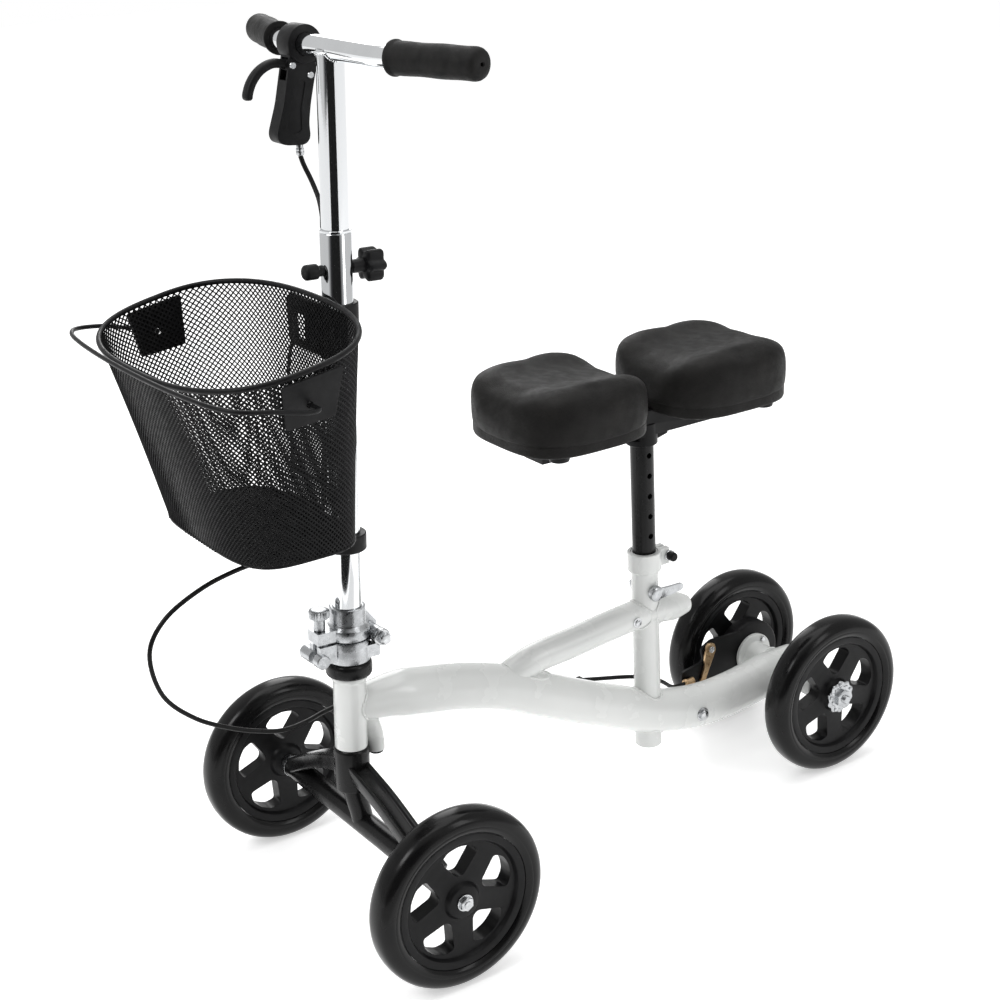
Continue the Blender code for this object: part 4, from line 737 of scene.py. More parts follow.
def build_frame_hardware():
    bm = bmesh.new()
    add_lathe(bm, [(0.004, -0.006), (0.004, -0.001), (0.0085, -0.001), (0.0088, -0.0004), (0.0088, 0.0002),
        (0.0082, 0.0008), (0.006, 0.001)], 40, axis="X")
    hex_head(bm, 0.0066, 0.0008, 0.0048)
    piece("tube_bolt", bm, "frame", STEEL, at(0.0268, 0.467, 0.0915), ["main_tube_bolt"])

    bm = bmesh.new()
    add_lathe(bm, [(0.0055, 0.0), (0.0062, 0.0004), (0.0062, 0.0012), (0.004, 0.0016)], 32, axis="X")
    hex_head(bm, 0.0042, 0.0014, 0.0034)
    piece("brace_bolt", bm, "frame", STEEL, at(0.0172, 0.374, 0.2385))

    ring = [(0.0131, 0.284), (0.022, 0.284), (0.0238, 0.285), (0.0248, 0.2868), (0.0252, 0.2895),
        (0.0252, 0.295), (0.0248, 0.298), (0.0236, 0.3), (0.0215, 0.301), (0.0131, 0.301)]
    piece("headset_ring", lathe(ring, 80, closed=True), "frame", BLACK_GLOSS, STEM, ["headset_bearing"])

    # Lug behind the foot of the head tube, with a rubber stop in its lower end.
    bm = bmesh.new()
    route = [(0.0, 0.0224, 0.184), (0.0, 0.0222, 0.196), (0.0, 0.0205, 0.208), (0.0, 0.0165, 0.22),
        (0.0, 0.012, 0.228)]
    add_tube(bm, smooth_path(route, 5), 0.0098, 40)
    piece("head_lug", bm, "frame", WHITE, AXLE, [], 0.0008)
    piece("lug_stop", lathe([(0.007, 0.1806), (0.008, 0.1813), (0.0082, 0.1846)], 32), "frame", RUBBER,
        at(0, 0.0224, 0))

    # Clamp round the top of the seat tube.
    collar = lathe(wall(0.0163, 0.0202, 0.295, 0.3185, 0.0007), 64, closed=True)
    ears = rounded_box((-0.0085, 0.017, 0.2965), (0.0085, 0.039, 0.317),
        lambda a, b: abs(a.x - b.x) > 0.01 and a.y > 0.03, 0.008, 8)
    slot_box = box((-0.0013, 0.01, 0.28), (0.0013, 0.05, 0.33))
    clamp = solid(collar, cuts=[slot_box, rod(0.0163, 0.28, 0.33)], joins=[ears])
    piece("mast_clamp", clamp, "frame", WHITE, SEAT, ["seat_clamp"], 0.0008)

    bm = bmesh.new()
    add_lathe(bm, [(0.003, -0.01), (0.003, 0.01)], 24, axis="X")
    add_lathe(bm, [(0.0062, 0.0088), (0.0066, 0.0092), (0.0066, 0.0104), (0.006, 0.0108)], 32, axis="X")
    hex_head(bm, 0.0056, -0.0088, -0.014)
    thread(bm, 0.003, -0.0138, -0.0165)
    centre = at(0, 0.03, 0.307, SEAT)
    piece("clamp_screw", bm, "frame", STEEL, centre, [], 0.0002)
    bm = bmesh.new()
    add_lathe(bm, [(0.005, 0.0106), (0.0054, 0.0112), (0.0054, 0.018), (0.005, 0.0192), (0.004, 0.02)], 40,
        axis="X", lobes=20, depth=0.00015)
    piece("clamp_cap", bm, "frame", PLASTIC, centre, ["seat_clamp_bolt"])

    bm = bmesh.new()
    add_lathe(bm, [(0.0085, -0.0152), (0.0085, -0.018), (0.0075, -0.0186)], 40, axis="X")
    hex_head(bm, 0.0066, -0.0184, -0.0235)
    piece("pin_nut", bm, "frame", STEEL, at(0, 0, 0.27, SEAT))

    bm = bmesh.new()
    add_lathe(bm, [(0.0074, 0.0163), (0.0084, 0.0166), (0.009, 0.0174), (0.0095, 0.0186), (0.0095, 0.0226),
        (0.0088, 0.0243), (0.0072, 0.0253), (0.004, 0.0258)], 48, axis="X")
    pin_knob = mesh_from(bm)
    outline = rounded([(0.0, -0.0065), (0.02, -0.006), (0.0385, -0.0042), (0.0385, 0.0042), (0.02, 0.005),
        (0.0, 0.0065)], 0.004, 6)
    blade = bmesh.new()
    add_prism(blade, outline, 0.0212, 0.0246)
    piece("height_pin_lever", solid(pin_knob, joins=[blade]), "seat_lever", ZINC, at(0, 0, 0.27, SEAT),
        ["seat_lever"], 0.0007, 3)


def build_brake():
    centre = REAR_AXLE
    cover = [(0.007, -0.057), (0.007, -0.0534), (0.04, -0.0534), (0.0415, -0.0538), (0.0426, -0.0548),
        (0.043, -0.0562), (0.043, -0.0713), (0.0423, -0.072), (0.0405, -0.072), (0.0405, -0.057)]
    shell = lathe(cover, 96, closed=True, axis="X")
    lug = [(0.6, 0.136), (0.548, 0.138), (0.532, 0.13), (0.536, 0.112), (0.5, 0.106), (0.5, 0.082),
        (0.545, 0.08), (0.6, 0.07)]
    bm = bmesh.new()
    add_prism(bm, rounded([(y - WHEELBASE, z - 0.1) for y, z in lug], 0.005, 5), -0.057, -0.0534)
    bore = rod(0.0072, -0.08, -0.04, 48, "X")
    piece("brake_shell", solid(shell, cuts=[bore], joins=[bm]), "frame", BLACK_SATIN, centre, ["brake_cover"],
        0.0006)
    drum = [(0.0075, 0.0148), (0.0372, 0.0148), (0.038, 0.0156), (0.038, 0.033), (0.035, 0.033),
        (0.035, 0.018), (0.0075, 0.018)]
    piece("drum", lathe(drum, 80, closed=True, axis="X"), "wheel_rear_right", STEEL,
        at(-REAR_WHEEL_X, WHEELBASE, AXLE_HEIGHT), ["brake_drum"])

    bm = bmesh.new()
    add_lathe(bm, [(0.004, -0.001), (0.0052, 0.0), (0.0055, 0.0008), (0.0055, 0.003), (0.0048, 0.0036),
        (0.0048, 0.01), (0.0055, 0.0106), (0.0055, 0.0132), (0.0046, 0.014)], 40, axis="Y")
    piece("cable_stop", bm, "frame", BRASS, at(-0.0476, 0.5, 0.094), ["cable_anchor"])

    outline = rounded([(0.0085, 0.0), (0.006, 0.0062), (0.0, 0.0085), (-0.006, 0.0062), (-0.0085, 0.0),
        (-0.0105, -0.025), (-0.018, -0.042), (-0.01, -0.044), (-0.002, -0.026), (0.0075, -0.006)], 0.004, 5)
    bm = bmesh.new()
    add_prism(bm, outline, -0.0531, -0.049)
    piece("brake_crank", bm, "brake_arm", BRASS, at(0, 0.545, 0.128), ["brake_arm"], 0.0008)
    bm = bmesh.new()
    hex_head(bm, 0.0046, -0.049, -0.0462)
    piece("crank_nut", bm, "brake_arm", STEEL, at(0, 0.545, 0.128), [], 0.0003)


# ---------------------------------------------------------------- fork and hinge

def build_fork():
    path = smooth_path([(0.0, -0.011, 0.162), (0.0, -0.008, 0.14), (0.0, -0.003, 0.118), (0.0, 0.0, 0.1)], 4)
    post = tube(path, 0.012, 40)
    post.transform(STEM.inverted() @ AXLE)
    crown = lathe([(0.0165, 0.148), (0.0185, 0.1486), (0.0195, 0.1505), (0.0195, 0.1942), (0.019, 0.1964),
        (0.0178, 0.1977)], 72)
    piece("fork_crown", solid(crown, joins=[post]), "steering", BLACK_GLOSS, STEM, ["fork_yoke"], 0.001)
    beam = wall(0.0106, 0.013, -0.1585, 0.1585, 0.0006)
    piece("axle_beam", lathe(beam, 56, closed=True, axis="X"), "steering", BLACK_GLOSS, FRONT_AXLE,
        ["fork_beam"])
    section = rounded([(-0.011, -0.0085), (0.011, -0.0085), (0.0125, 0.002), (0.0125, 0.0085),
        (0.0085, 0.0085), (0.006, 0.004), (-0.006, 0.004), (-0.0085, 0.0085), (-0.0125, 0.0085),
        (-0.0125, 0.002)], 0.0018, 3)
    route = [(0.011, -0.0092, 0.1738), (0.06, -0.0065, 0.156), (0.105, -0.0035, 0.133), (0.15, 0.0, 0.108)]
    for place, sign in (("left", 1), ("right", -1)):
        path = smooth_path([(sign * x, y, z) for x, y, z in route], 8)
        outline = section if sign > 0 else [(-a, b) for a, b in section]
        bm = bmesh.new()
        add_sweep(bm, path, [outline] * len(path), side=Vector((0, 1, 0)))
        piece("fork_blade_" + place, bm, "steering", BLACK_GLOSS, AXLE, ["fork_arm_" + place])


def build_hinge():
    pin = Matrix.Translation((0.0, 0.026, 0.329))
    lower = lathe([(0.0128, 0.3015), (0.022, 0.3015), (0.0232, 0.3022), (0.0235, 0.3035), (0.0235, 0.325),
        (0.023, 0.3264), (0.0218, 0.327), (0.0128, 0.327)], 80, closed=True)
    knuckle = lathe([(0.008, -0.021), (0.0088, -0.0202), (0.0088, 0.0202), (0.008, 0.021)], 48, axis="X")
    knuckle.transform(pin)
    barrel = lathe([(0.007, -0.025), (0.0078, -0.0242), (0.0078, 0.0142), (0.007, 0.015)], 48, axis="X")
    barrel.transform(Matrix.Translation((0.0, -0.038, 0.3105)))
    joins = [box((-0.0205, 0.01, 0.306), (0.0205, 0.027, 0.32)), knuckle,
        box((-0.0115, -0.04, 0.306), (0.0115, -0.014, 0.326)), barrel]
    cuts = [rod(0.0128, 0.29, 0.34), box((-0.0103, 0.016, 0.28), (0.0103, 0.06, 0.35)),
        box((-0.0043, -0.06, 0.28), (0.0043, -0.0297, 0.35))]
    piece("hinge_base", solid(lower, cuts=cuts, joins=joins), "steering", ZINC, STEM, ["hinge_lower"], 0.0009,
        3)

    upper = lathe([(0.016, 0.345), (0.016, 0.363), (0.0178, 0.363), (0.019, 0.3624), (0.0195, 0.361),
        (0.0195, 0.345), (0.0202, 0.343), (0.0226, 0.3406), (0.0235, 0.339), (0.0235, 0.3295),
        (0.023, 0.3284), (0.0218, 0.328), (0.01, 0.328), (0.01, 0.345)], 80, closed=True)
    upper = solid(upper, cuts=[rod(0.0091, -0.03, 0.03, 48, "X", pin)])
    eye = lathe([(0.0076, -0.01), (0.0083, -0.0093), (0.0083, 0.0093), (0.0076, 0.01)], 48, axis="X")
    eye.transform(pin)
    rib = bmesh.new()
    add_prism(rib, rounded([(0.0175, 0.335), (0.033, 0.335), (0.033, 0.3385), (0.0185, 0.356),
        (0.0175, 0.356)], 0.003, 4), -0.0045, 0.0045)
    joins = [box((-0.01, 0.014, 0.3285), (0.01, 0.027, 0.337)), eye,
        box((-0.011, -0.042, 0.329), (0.011, -0.014, 0.342)), mesh_from(rib)]
    piece("hinge_cap", solid(upper, joins=joins), "stem", ZINC, STEM, ["hinge_upper"], 0.0009, 3)

    bm = bmesh.new()
    add_lathe(bm, [(0.004, -0.0225), (0.004, 0.0225)], 24, axis="X")
    add_lathe(bm, [(0.0078, -0.0215), (0.0078, -0.024), (0.007, -0.0246)], 40, axis="X")
    hex_head(bm, 0.0078, -0.0242, -0.031)
    add_lathe(bm, [(0.0092, 0.0215), (0.0095, 0.022), (0.0095, 0.0276), (0.0086, 0.0284), (0.006, 0.0286)],
        40, axis="X")
    hex_head(bm, 0.0072, 0.0284, 0.0352)
    piece("hinge_bolt", bm, "steering", STEEL, STEM @ pin, ["hinge_pin"], 0.0003)

    bm = bmesh.new()
    add_lathe(bm, [(0.003, 0.308), (0.0038, 0.309), (0.0038, 0.3425), (0.0058, 0.3425), (0.0062, 0.343),
        (0.0062, 0.3555), (0.007, 0.356)], 40)
    add_lathe(bm, [(0.0092, 0.3558), (0.0104, 0.3566), (0.0107, 0.358), (0.0107, 0.364), (0.01, 0.3652),
        (0.008, 0.366), (0.004, 0.3662)], 96, lobes=24, depth=0.00035)
    piece("clamp_knob", bm, "fold_knob", ZINC, at(0, -0.034, 0, STEM), ["fold_knob"])

    piece("steerer_tube", lathe([(0.0105, 0.152), (0.0125, 0.152), (0.0125, 0.3255), (0.012, 0.326),
        (0.0105, 0.326)], 56, closed=True), "steering", STEEL, STEM, ["steerer"])


# ---------------------------------------------------------------- stem and handlebar

BAR_STRAIGHT, BAR_SWEPT, BAR_SWEEP = 0.09, 0.121, math.radians(16)
BAR_RADIUS = 0.0111


def build_stem():
    tube_wall = [(0.0142, 0.3453), (0.0155, 0.3453), (0.0159, 0.3458), (0.0159, 0.7591), (0.0155, 0.7597),
        (0.0142, 0.7597)]
    piece("stem_tube", lathe(tube_wall, 96, closed=True), "stem", CHROME, STEM, ["stem_outer"])
    bush = [(0.014, 0.759), (0.0158, 0.76), (0.0163, 0.7606), (0.0163, 0.7624), (0.0158, 0.763),
        (0.014, 0.763)]
    piece("stem_bush", lathe(bush, 64, closed=True), "stem", CHROME, STEM)

    inner = lathe([(0.0124, 0.6), (0.0139, 0.6), (0.0139, 0.936), (0.0124, 0.936)], 96, closed=True)
    bar_bore = rod(0.011, -0.05, 0.05, 64, "X", STEM.inverted() @ BAR)
    piece("stem_slider", solid(inner, cuts=[bar_bore]), "handlebar", CHROME, STEM, ["stem_inner"])

    bend = 0.018
    turn = bend / math.tan(BAR_SWEEP / 2)
    half = [(0.0, 0.0), (0.03, 0.0), (BAR_STRAIGHT - bend, 0.0)]
    for i in range(1, 13):
        angle = BAR_SWEEP * i / 12
        half.append((BAR_STRAIGHT - bend + turn * math.sin(angle), turn * (1 - math.cos(angle))))
    half.append((BAR_STRAIGHT + BAR_SWEPT * math.cos(BAR_SWEEP), BAR_SWEPT * math.sin(BAR_SWEEP)))
    path = [(-x, y, 0.0) for x, y in reversed(half)] + [(x, y, 0.0) for x, y in half[1:]]
    bm = bmesh.new()
    add_tube(bm, path, BAR_RADIUS, 64)
    piece("bar", bm, "handlebar", CHROME, BAR, ["handlebar"])

    ring = []
    for x, y in circle(0.0142, 48):
        ring.append(Vector((x, y, -math.sqrt(BAR_RADIUS ** 2 - min(abs(y), 0.0105) ** 2))))
    path = smooth_path(ring, 4, closed=True)
    radii = [0.0014 * (1.0 + 0.12 * math.sin(2 * math.pi * i / 4)) for i in range(len(path))]
    piece("bar_weld", tube(path, radii, 10, closed=True), "handlebar", CHROME, BAR)

    build_grips()
    build_height_bolt()
    build_brake_lever()


def build_grips():
    """Foam-like rubber grips: a rolled lip, shallow swells under the hand and a rounded end with a vent."""
    length = 0.1055
    profile = [(0.0112, 0.0), (0.0158, 0.0), (0.0166, 0.0006), (0.0169, 0.0018), (0.0169, 0.0032),
        (0.0164, 0.0046), (0.0157, 0.006)]
    for i in range(15):
        x = 0.008 + (length - 0.0175) * i / 14
        profile.append((0.0154 + 0.0003 * math.sin(x * 130.0), x))
    profile += [(0.0153, length - 0.0075), (0.0147, length - 0.0044), (0.0134, length - 0.002),
        (0.0112, length - 0.0005), (0.007, length), (0.003, length), (0.002, length - 0.0008),
        (0.002, length - 0.003), (0.0112, length - 0.003)]
    for place, sign in (("left", 1), ("right", -1)):
        start = (sign * (BAR_STRAIGHT + 0.019 * math.cos(BAR_SWEEP)), 0.019 * math.sin(BAR_SWEEP), 0.0)
        matrix = BAR @ Matrix.Translation(start) @ Matrix.Rotation(sign * BAR_SWEEP, 4, "Z")
        mesh = lathe([(r, sign * x) for r, x in profile], 72, closed=True, axis="X")
        piece("grip_skin_" + place, mesh, "handlebar", RUBBER, matrix, ["grip_" + place])


def build_height_bolt():
    centre = at(0.0, 0.0, 0.723, STEM)
    cap = [(0.0052, -0.0159), (0.0055, -0.0165), (0.0055, -0.0218), (0.007, -0.0222), (0.0078, -0.0232),
        (0.0079, -0.033), (0.0076, -0.0352), (0.0064, -0.0366), (0.004, -0.0371)]
    piece("bolt_cap", lathe(cap, 48, axis="Y"), "stem", PLASTIC, centre, ["height_bolt_cap"])
    bm = bmesh.new()
    add_lathe(bm, [(0.0105, 0.03), (0.0135, 0.0304), (0.0152, 0.0316), (0.0156, 0.0332), (0.0156, 0.0458),
        (0.015, 0.0476), (0.0134, 0.0492), (0.011, 0.05), (0.006, 0.0497)], 120, axis="Y", lobes=6,
        depth=0.0023)
    add_lathe(bm, [(0.0062, 0.0162), (0.0068, 0.0168), (0.007, 0.023), (0.0076, 0.031)], 48, axis="Y")
    add_lathe(bm, [(0.005, 0.049), (0.005, 0.0503), (0.0042, 0.0506)], 32, axis="Y")
    piece("star_knob", bm, "height_knob", PLASTIC, centre, ["height_knob"])


def build_brake_lever():
    x = -0.06
    ring = lathe([(0.0114, -0.013), (0.0172, -0.013), (0.0186, -0.0123), (0.019, -0.0108), (0.019, 0.0108),
        (0.0186, 0.0123), (0.0172, 0.013), (0.0114, 0.013)], 64, closed=True, axis="X")
    on_bar = Matrix.Translation((x, 0.0239, 0.9355))
    ring.transform(on_bar)
    outline = [(0.0085, 0.93), (0.006, 0.917), (-0.003, 0.879), (-0.013, 0.851), (-0.011, 0.8435),
        (-0.004, 0.84), (0.018, 0.838), (0.0245, 0.8445), (0.0235, 0.858), (0.027, 0.878), (0.035, 0.908),
        (0.039, 0.926)]
    body = bmesh.new()
    add_prism(body, rounded(outline, 0.006, 5), x - 0.0095, x + 0.0095)
    bore = rod(0.0114, -0.03, 0.03, 64, "X", on_bar)
    recess = bmesh.new()
    add_prism(recess, rounded([(0.012, 0.902), (0.005, 0.878), (-0.002, 0.856), (0.006, 0.85), (0.015, 0.852),
        (0.016, 0.874), (0.023, 0.9)], 0.003, 3), x + 0.0084, x + 0.012)
    cuts = [bore, box((x - 0.0063, -0.02, 0.902), (x + 0.0063, 0.0195, 0.9235)), mesh_from(recess)]
    piece("lever_housing", solid(ring, cuts=cuts, joins=[body]), "handlebar", PLASTIC, AXLE,
        ["brake_housing"], 0.0012, 3)

    bm = bmesh.new()
    for y, z in ((0.01, 0.916), (0.029, 0.905)):
        add_lathe(bm, [(0.0034, 0.0092), (0.0036, 0.0098), (0.003, 0.0106)], 24, axis="X", offset=(x, y, z))
    piece("housing_screws", bm, "handlebar", STEEL, AXLE)

    route = [(0.009, 0.916), (-0.004, 0.919), (-0.014, 0.9175), (-0.024, 0.912), (-0.032, 0.903),
        (-0.0365, 0.893), (-0.037, 0.887)]
    path = smooth_path([(x, y, z) for y, z in route], 5)
    sections = []
    for i in range(len(path)):
        t = i / (len(path) - 1)
        wide, thick = 0.0058 + 0.0006 * t, 0.0046 - 0.0004 * t
        if i > len(path) - 4:
            shrink = (0.97, 0.88, 0.62)[i - len(path) + 3]
            wide, thick = wide * shrink, thick * shrink
        sections.append([(wide * math.copysign(abs(c) ** 0.7, c), thick * math.copysign(abs(s) ** 0.7, s))
            for c, s in circle(1.0, 28)])
    bm = bmesh.new()
    add_sweep(bm, path, sections, side=Vector((1, 0, 0)))
    add_lathe(bm, [(0.0055, -0.006), (0.006, -0.0055), (0.006, 0.0055), (0.0055, 0.006)], 40, axis="X",
        offset=(x, 0.01, 0.916))
    piece("lever_blade", bm, "brake_lever", PLASTIC, AXLE, ["brake_lever"])

    ferrule = [(0.003, 0.0004), (0.0036, -0.0005), (0.0036, -0.004), (0.0042, -0.0046), (0.0043, -0.0058),
        (0.004, -0.0066), (0.0043, -0.0074), (0.0043, -0.0104), (0.0038, -0.0112), (0.0028, -0.0118)]
    piece("ferrule", lathe(ferrule, 36), "handlebar", STEEL, at(x, 0.016, 0.838), ["cable_ferrule"])


# ---------------------------------------------------------------- basket

BASKET_FLOOR = 0.4745
BASKET_MOUTH = (0.1672, -0.0125, -0.1034, -0.2116, 2.4, 2.7)
BASKET_BASE = (0.1143, -0.0245, -0.0902, -0.1598, 3.4, 4.0)


def outline_point(shape, angle):
    """Point of a rounded outline: angle 0 is the middle of its back, pi the middle of its front."""
    half_width, back, widest, front, back_power, front_power = shape
    c, s = math.cos(angle), math.sin(angle)
    power = back_power if c >= 0 else front_power
    reach = (back if c >= 0 else front) - widest
    x = math.copysign(abs(s) ** (2 / power), s) * half_width
    return x, widest + abs(c) ** (2 / power) * reach


def even_outline(shape, count):
    """The outline's points, evenly spaced along it."""
    fine = [Vector(outline_point(shape, 2 * math.pi * i / 1440)) for i in range(1440)]
    lengths = [0.0]
    for i in range(1440):
        lengths.append(lengths[-1] + (fine[(i + 1) % 1440] - fine[i]).length)
    points = []
    index = 0
    for i in range(count):
        target = lengths[-1] * i / count
        while lengths[index + 1] < target:
            index += 1
        share = (target - lengths[index]) / (lengths[index + 1] - lengths[index])
        points.append(fine[index].lerp(fine[(index + 1) % 1440], share))
    return points


def mouth_height(y):
    """The basket's mouth slopes down towards the front."""
    return 0.6636 + 0.18 * (y - BASKET_MOUTH[3])


def add_strand(bm, first, second, outward, width, depth):
    """Flat wire between two points of the mesh, lying along the wall."""
    along = (second - first).normalized()
    first, second = first - along * 0.0003, second + along * 0.0003
    across = along.cross(outward).normalized() * (width / 2)
    out = outward * (depth / 2)
    section = (across + out, out - across, -across - out, across - out)
    bridge(bm, *[[bm.verts.new(point + corner) for corner in section] for point in (first, second)])


def build_basket_wall():
    columns, rows = 132, 74
    base = even_outline(BASKET_BASE, columns * 2)
    mouth = even_outline(BASKET_MOUTH, columns * 2)
    middle = Vector((0.0, -0.09, 0.0))

    def crossing(column, row):
        column %= columns * 2
        blend = row / rows
        b, m = base[column], mouth[column]
        z = BASKET_FLOOR + 0.0012 + (mouth_height(m.y) - 0.0012 - BASKET_FLOOR) * blend
        point = Vector((b.x + (m.x - b.x) * blend, b.y + (m.y - b.y) * blend, z))
        out = Vector((point.x, point.y, 0.0)) - middle
        out.z = 0.0
        sag = 0.0012 * math.sin(math.pi * blend)
        out.normalize()
        return point - out * (0.0012 + sag), (out + Vector((0, 0, -0.22))).normalized()

    bm = bmesh.new()
    for row in range(rows):
        for column in range(row % 2, columns * 2, 2):
            start, out = crossing(column, row)
            for side in (-1, 1):
                end, _ = crossing(column + side, row + 1)
                add_strand(bm, start, end, out, 0.0014, 0.001)
    mesh = bpy.data.meshes.new("basket_wall")
    bm.to_mesh(mesh)
    bm.free()
    piece("basket_wall", mesh, "stem", WIRE, AXLE, ["basket"])


def build_basket_floor():
    """Mesh floor: the same diamonds, held by a wire round the edge."""
    outline = even_outline(BASKET_BASE, 360)

    def inside(x, y):
        hit = False
        for i, a in enumerate(outline):
            b = outline[i - 1]
            if (a.y > y) != (b.y > y) and x < (b.x - a.x) * (y - a.y) / (b.y - a.y) + a.x:
                hit = not hit
        return hit

    bm = bmesh.new()
    step_x, step_y = 0.003, 0.0024
    z = BASKET_FLOOR + 0.0014
    up = Vector((0, 0, 1))
    for row in range(-2, 60):
        for column in range(-42 + row % 2, 43, 2):
            x, y = column * step_x, -0.162 + row * step_y
            for side in (-1, 1):
                x2, y2 = x + side * step_x, y + step_y
                if inside(x, y) and inside(x2, y2):
                    add_strand(bm, Vector((x, y, z)), Vector((x2, y2, z)), up, 0.0023, 0.001)
    mesh = bpy.data.meshes.new("basket_net")
    bm.to_mesh(mesh)
    bm.free()
    piece("basket_net", mesh, "stem", WIRE, AXLE, [])
    loop = [Vector((p.x, p.y, BASKET_FLOOR + 0.0018)) for p in even_outline(BASKET_BASE, 120)]
    middle = Vector((0.0, -0.09, BASKET_FLOOR + 0.0018))
    loop = [p + (middle - p).normalized() * 0.0014 for p in loop]
    piece("basket_foot_wire", tube(loop, 0.0017, 12, closed=True), "stem", BLACK_SATIN, AXLE, [])


def build_basket():
    build_basket_wall()
    build_basket_floor()
    loop = [Vector((p.x, p.y, mouth_height(p.y))) for p in even_outline(BASKET_MOUTH, 180)]
    piece("basket_hoop", tube(loop, 0.0028, 16, closed=True), "stem", BLACK_SATIN, AXLE, ["basket_rim"])

    ring = lathe(wall(0.0162, 0.021, 0.657, 0.69, 0.001), 72, closed=True)
    ring.transform(STEM_FROM_AXLE)
    plate = rounded_box((-0.062, -0.0118, 0.638), (0.062, -0.0075, 0.6925),
        lambda a, b: abs(a.y - b.y) > 0.003, 0.006, 5)
    windows = [box((low, -0.03, 0.647), (low + 0.022, 0.01, 0.674)) for low in (-0.048, 0.026)]
    bore = rod(0.0162, 0.6, 0.72, 72, matrix=STEM_FROM_AXLE)
    trim = box((-0.1, -0.06, 0.6), (0.1, -0.0119, 0.72))
    bracket = solid(ring, cuts=windows + [bore, trim], joins=[plate])
    piece("basket_holder", bracket, "stem", PLASTIC, AXLE, ["basket_bracket"], 0.0008, 3)

    side = [(0.058, -0.0096, 0.645), (0.058, -0.0168, 0.615), (0.058, -0.019, 0.57), (0.058, -0.0202, 0.515),
        (0.052, -0.0202, 0.506)]
    route = [(-x, y, z) for x, y, z in side] + [(0.0, -0.0202, 0.5052)] + list(reversed(side))
    piece("holder_wire", tube(smooth_path(route, 8), 0.0018, 14), "stem", BLACK_SATIN, AXLE)

    rest = lathe(wall(0.0162, 0.0225, 0.427, 0.445, 0.001), 72, closed=True)
    rest.transform(STEM_FROM_AXLE)
    low_bore = rod(0.0162, 0.4, 0.48, 72, matrix=STEM_FROM_AXLE)
    joins = [box((-0.013, -0.036, 0.437), (0.013, -0.005, 0.444)),
        box((-0.013, -0.036, 0.438), (0.013, -0.028, 0.4742))]
    piece("basket_support", solid(rest, cuts=[low_bore], joins=joins), "stem", PLASTIC, AXLE, ["basket_rest"],
        0.0008, 3)

    for place, sign in (("left", 1), ("right", -1)):
        matrix = at(sign * 0.1612, -0.112, 0.648) @ Matrix.Rotation(sign * math.radians(14.4), 4, "Y")
        bm = bmesh.new()
        outline = rounded([(-0.03, 0.0235), (0.033, 0.0335), (0.028, -0.018), (-0.023, -0.023)], 0.003, 4)
        add_prism(bm, outline, -0.00125, 0.00125)
        hole = rod(0.0033, -0.01, 0.01, 32, "X")
        piece("side_plate_" + place, solid(bm, cuts=[hole]), "stem", PLASTIC, matrix, ["bail_plate_" + place],
            0.0005)

    half = [(0.0, -0.219, 0.6655), (0.06, -0.2178, 0.6655), (0.12, -0.213, 0.665), (0.16, -0.205, 0.664),
        (0.181, -0.19, 0.662), (0.188, -0.16, 0.6575), (0.1872, -0.135, 0.651), (0.185, -0.12, 0.6484),
        (0.18, -0.1125, 0.648), (0.172, -0.112, 0.648), (0.1604, -0.112, 0.648)]
    route = [(-x, y, z) for x, y, z in reversed(half[1:])] + half
    piece("bail_wire", tube(smooth_path(route, 6), 0.0023, 16), "basket_bail", BLACK_SATIN, AXLE,
        ["basket_bail"])


# ---------------------------------------------------------------- seat

PAD_LENGTH, PAD_WIDTH, PAD_CROWN, PAD_BOTTOM = 0.176, 0.178, 0.0624, 0.4998
PAD_SWELL = 0.0035  # the furthest that the cloth may move
PADS = (("front", 0.281, 1), ("rear", 0.4845, -1))


def build_seat():
    post = lathe([(0.012, 0.2), (0.0133, 0.2), (0.0138, 0.2005), (0.0138, 0.465), (0.012, 0.465)], 72,
        closed=True)
    holes = [rod(0.0034, -0.03, 0.03, 24, "X", Matrix.Translation((0.0, 0.0, height)))
        for height in (0.3405, 0.3655, 0.3905, 0.4155, 0.4405)]
    piece("seat_slider", solid(post, cuts=holes), "seat", BLACK_GLOSS, SEAT, ["seat_post"])

    ring = lathe(wall(0.0141, 0.0185, 0.453, 0.48, 0.001), 72, closed=True)
    ring.transform(SEAT_FROM_AXLE)
    beam = box((-0.017, 0.245, 0.466), (0.017, 0.53, 0.4955))
    gusset = bmesh.new()
    add_prism(gusset, rounded([(0.4, 0.456), (0.413, 0.456), (0.468, 0.47), (0.468, 0.475), (0.33, 0.475),
        (0.33, 0.47), (0.386, 0.456)], 0.006, 4), -0.008, 0.008)
    channels = [box((-0.0145, start, 0.46), (0.0145, end, 0.493))
        for start, end in ((0.2475, 0.384), (0.429, 0.5275))]
    bore = rod(0.0141, 0.42, 0.4653, 72, matrix=SEAT_FROM_AXLE)
    joins = [beam, gusset]
    for _, y, _ in PADS:
        joins.append(rounded_box((-0.064, y - 0.062, 0.4941), (0.064, y + 0.062, 0.4995),
            lambda a, b: abs(a.z - b.z) > 0.003, 0.012, 5))
    piece("pad_carrier", solid(ring, cuts=channels + [bore], joins=joins), "seat", BLACK_SATIN, AXLE,
        ["seat_carrier"], 0.001, 3)
    for place, y, inner in PADS:
        build_pad(place, y, inner)


def pad_height(x, y, inner):
    """Top of a pad: raised along both sides, with a channel that deepens towards the other pad."""
    side = min(max((abs(x) - 0.018) / 0.058, 0.0), 1.0)
    side = side * side * (3 - 2 * side)
    near = min(max(0.5 + inner * y / PAD_LENGTH, 0.0), 1.0)
    return -(0.0065 + 0.01 * near * near) * (1.0 - side)


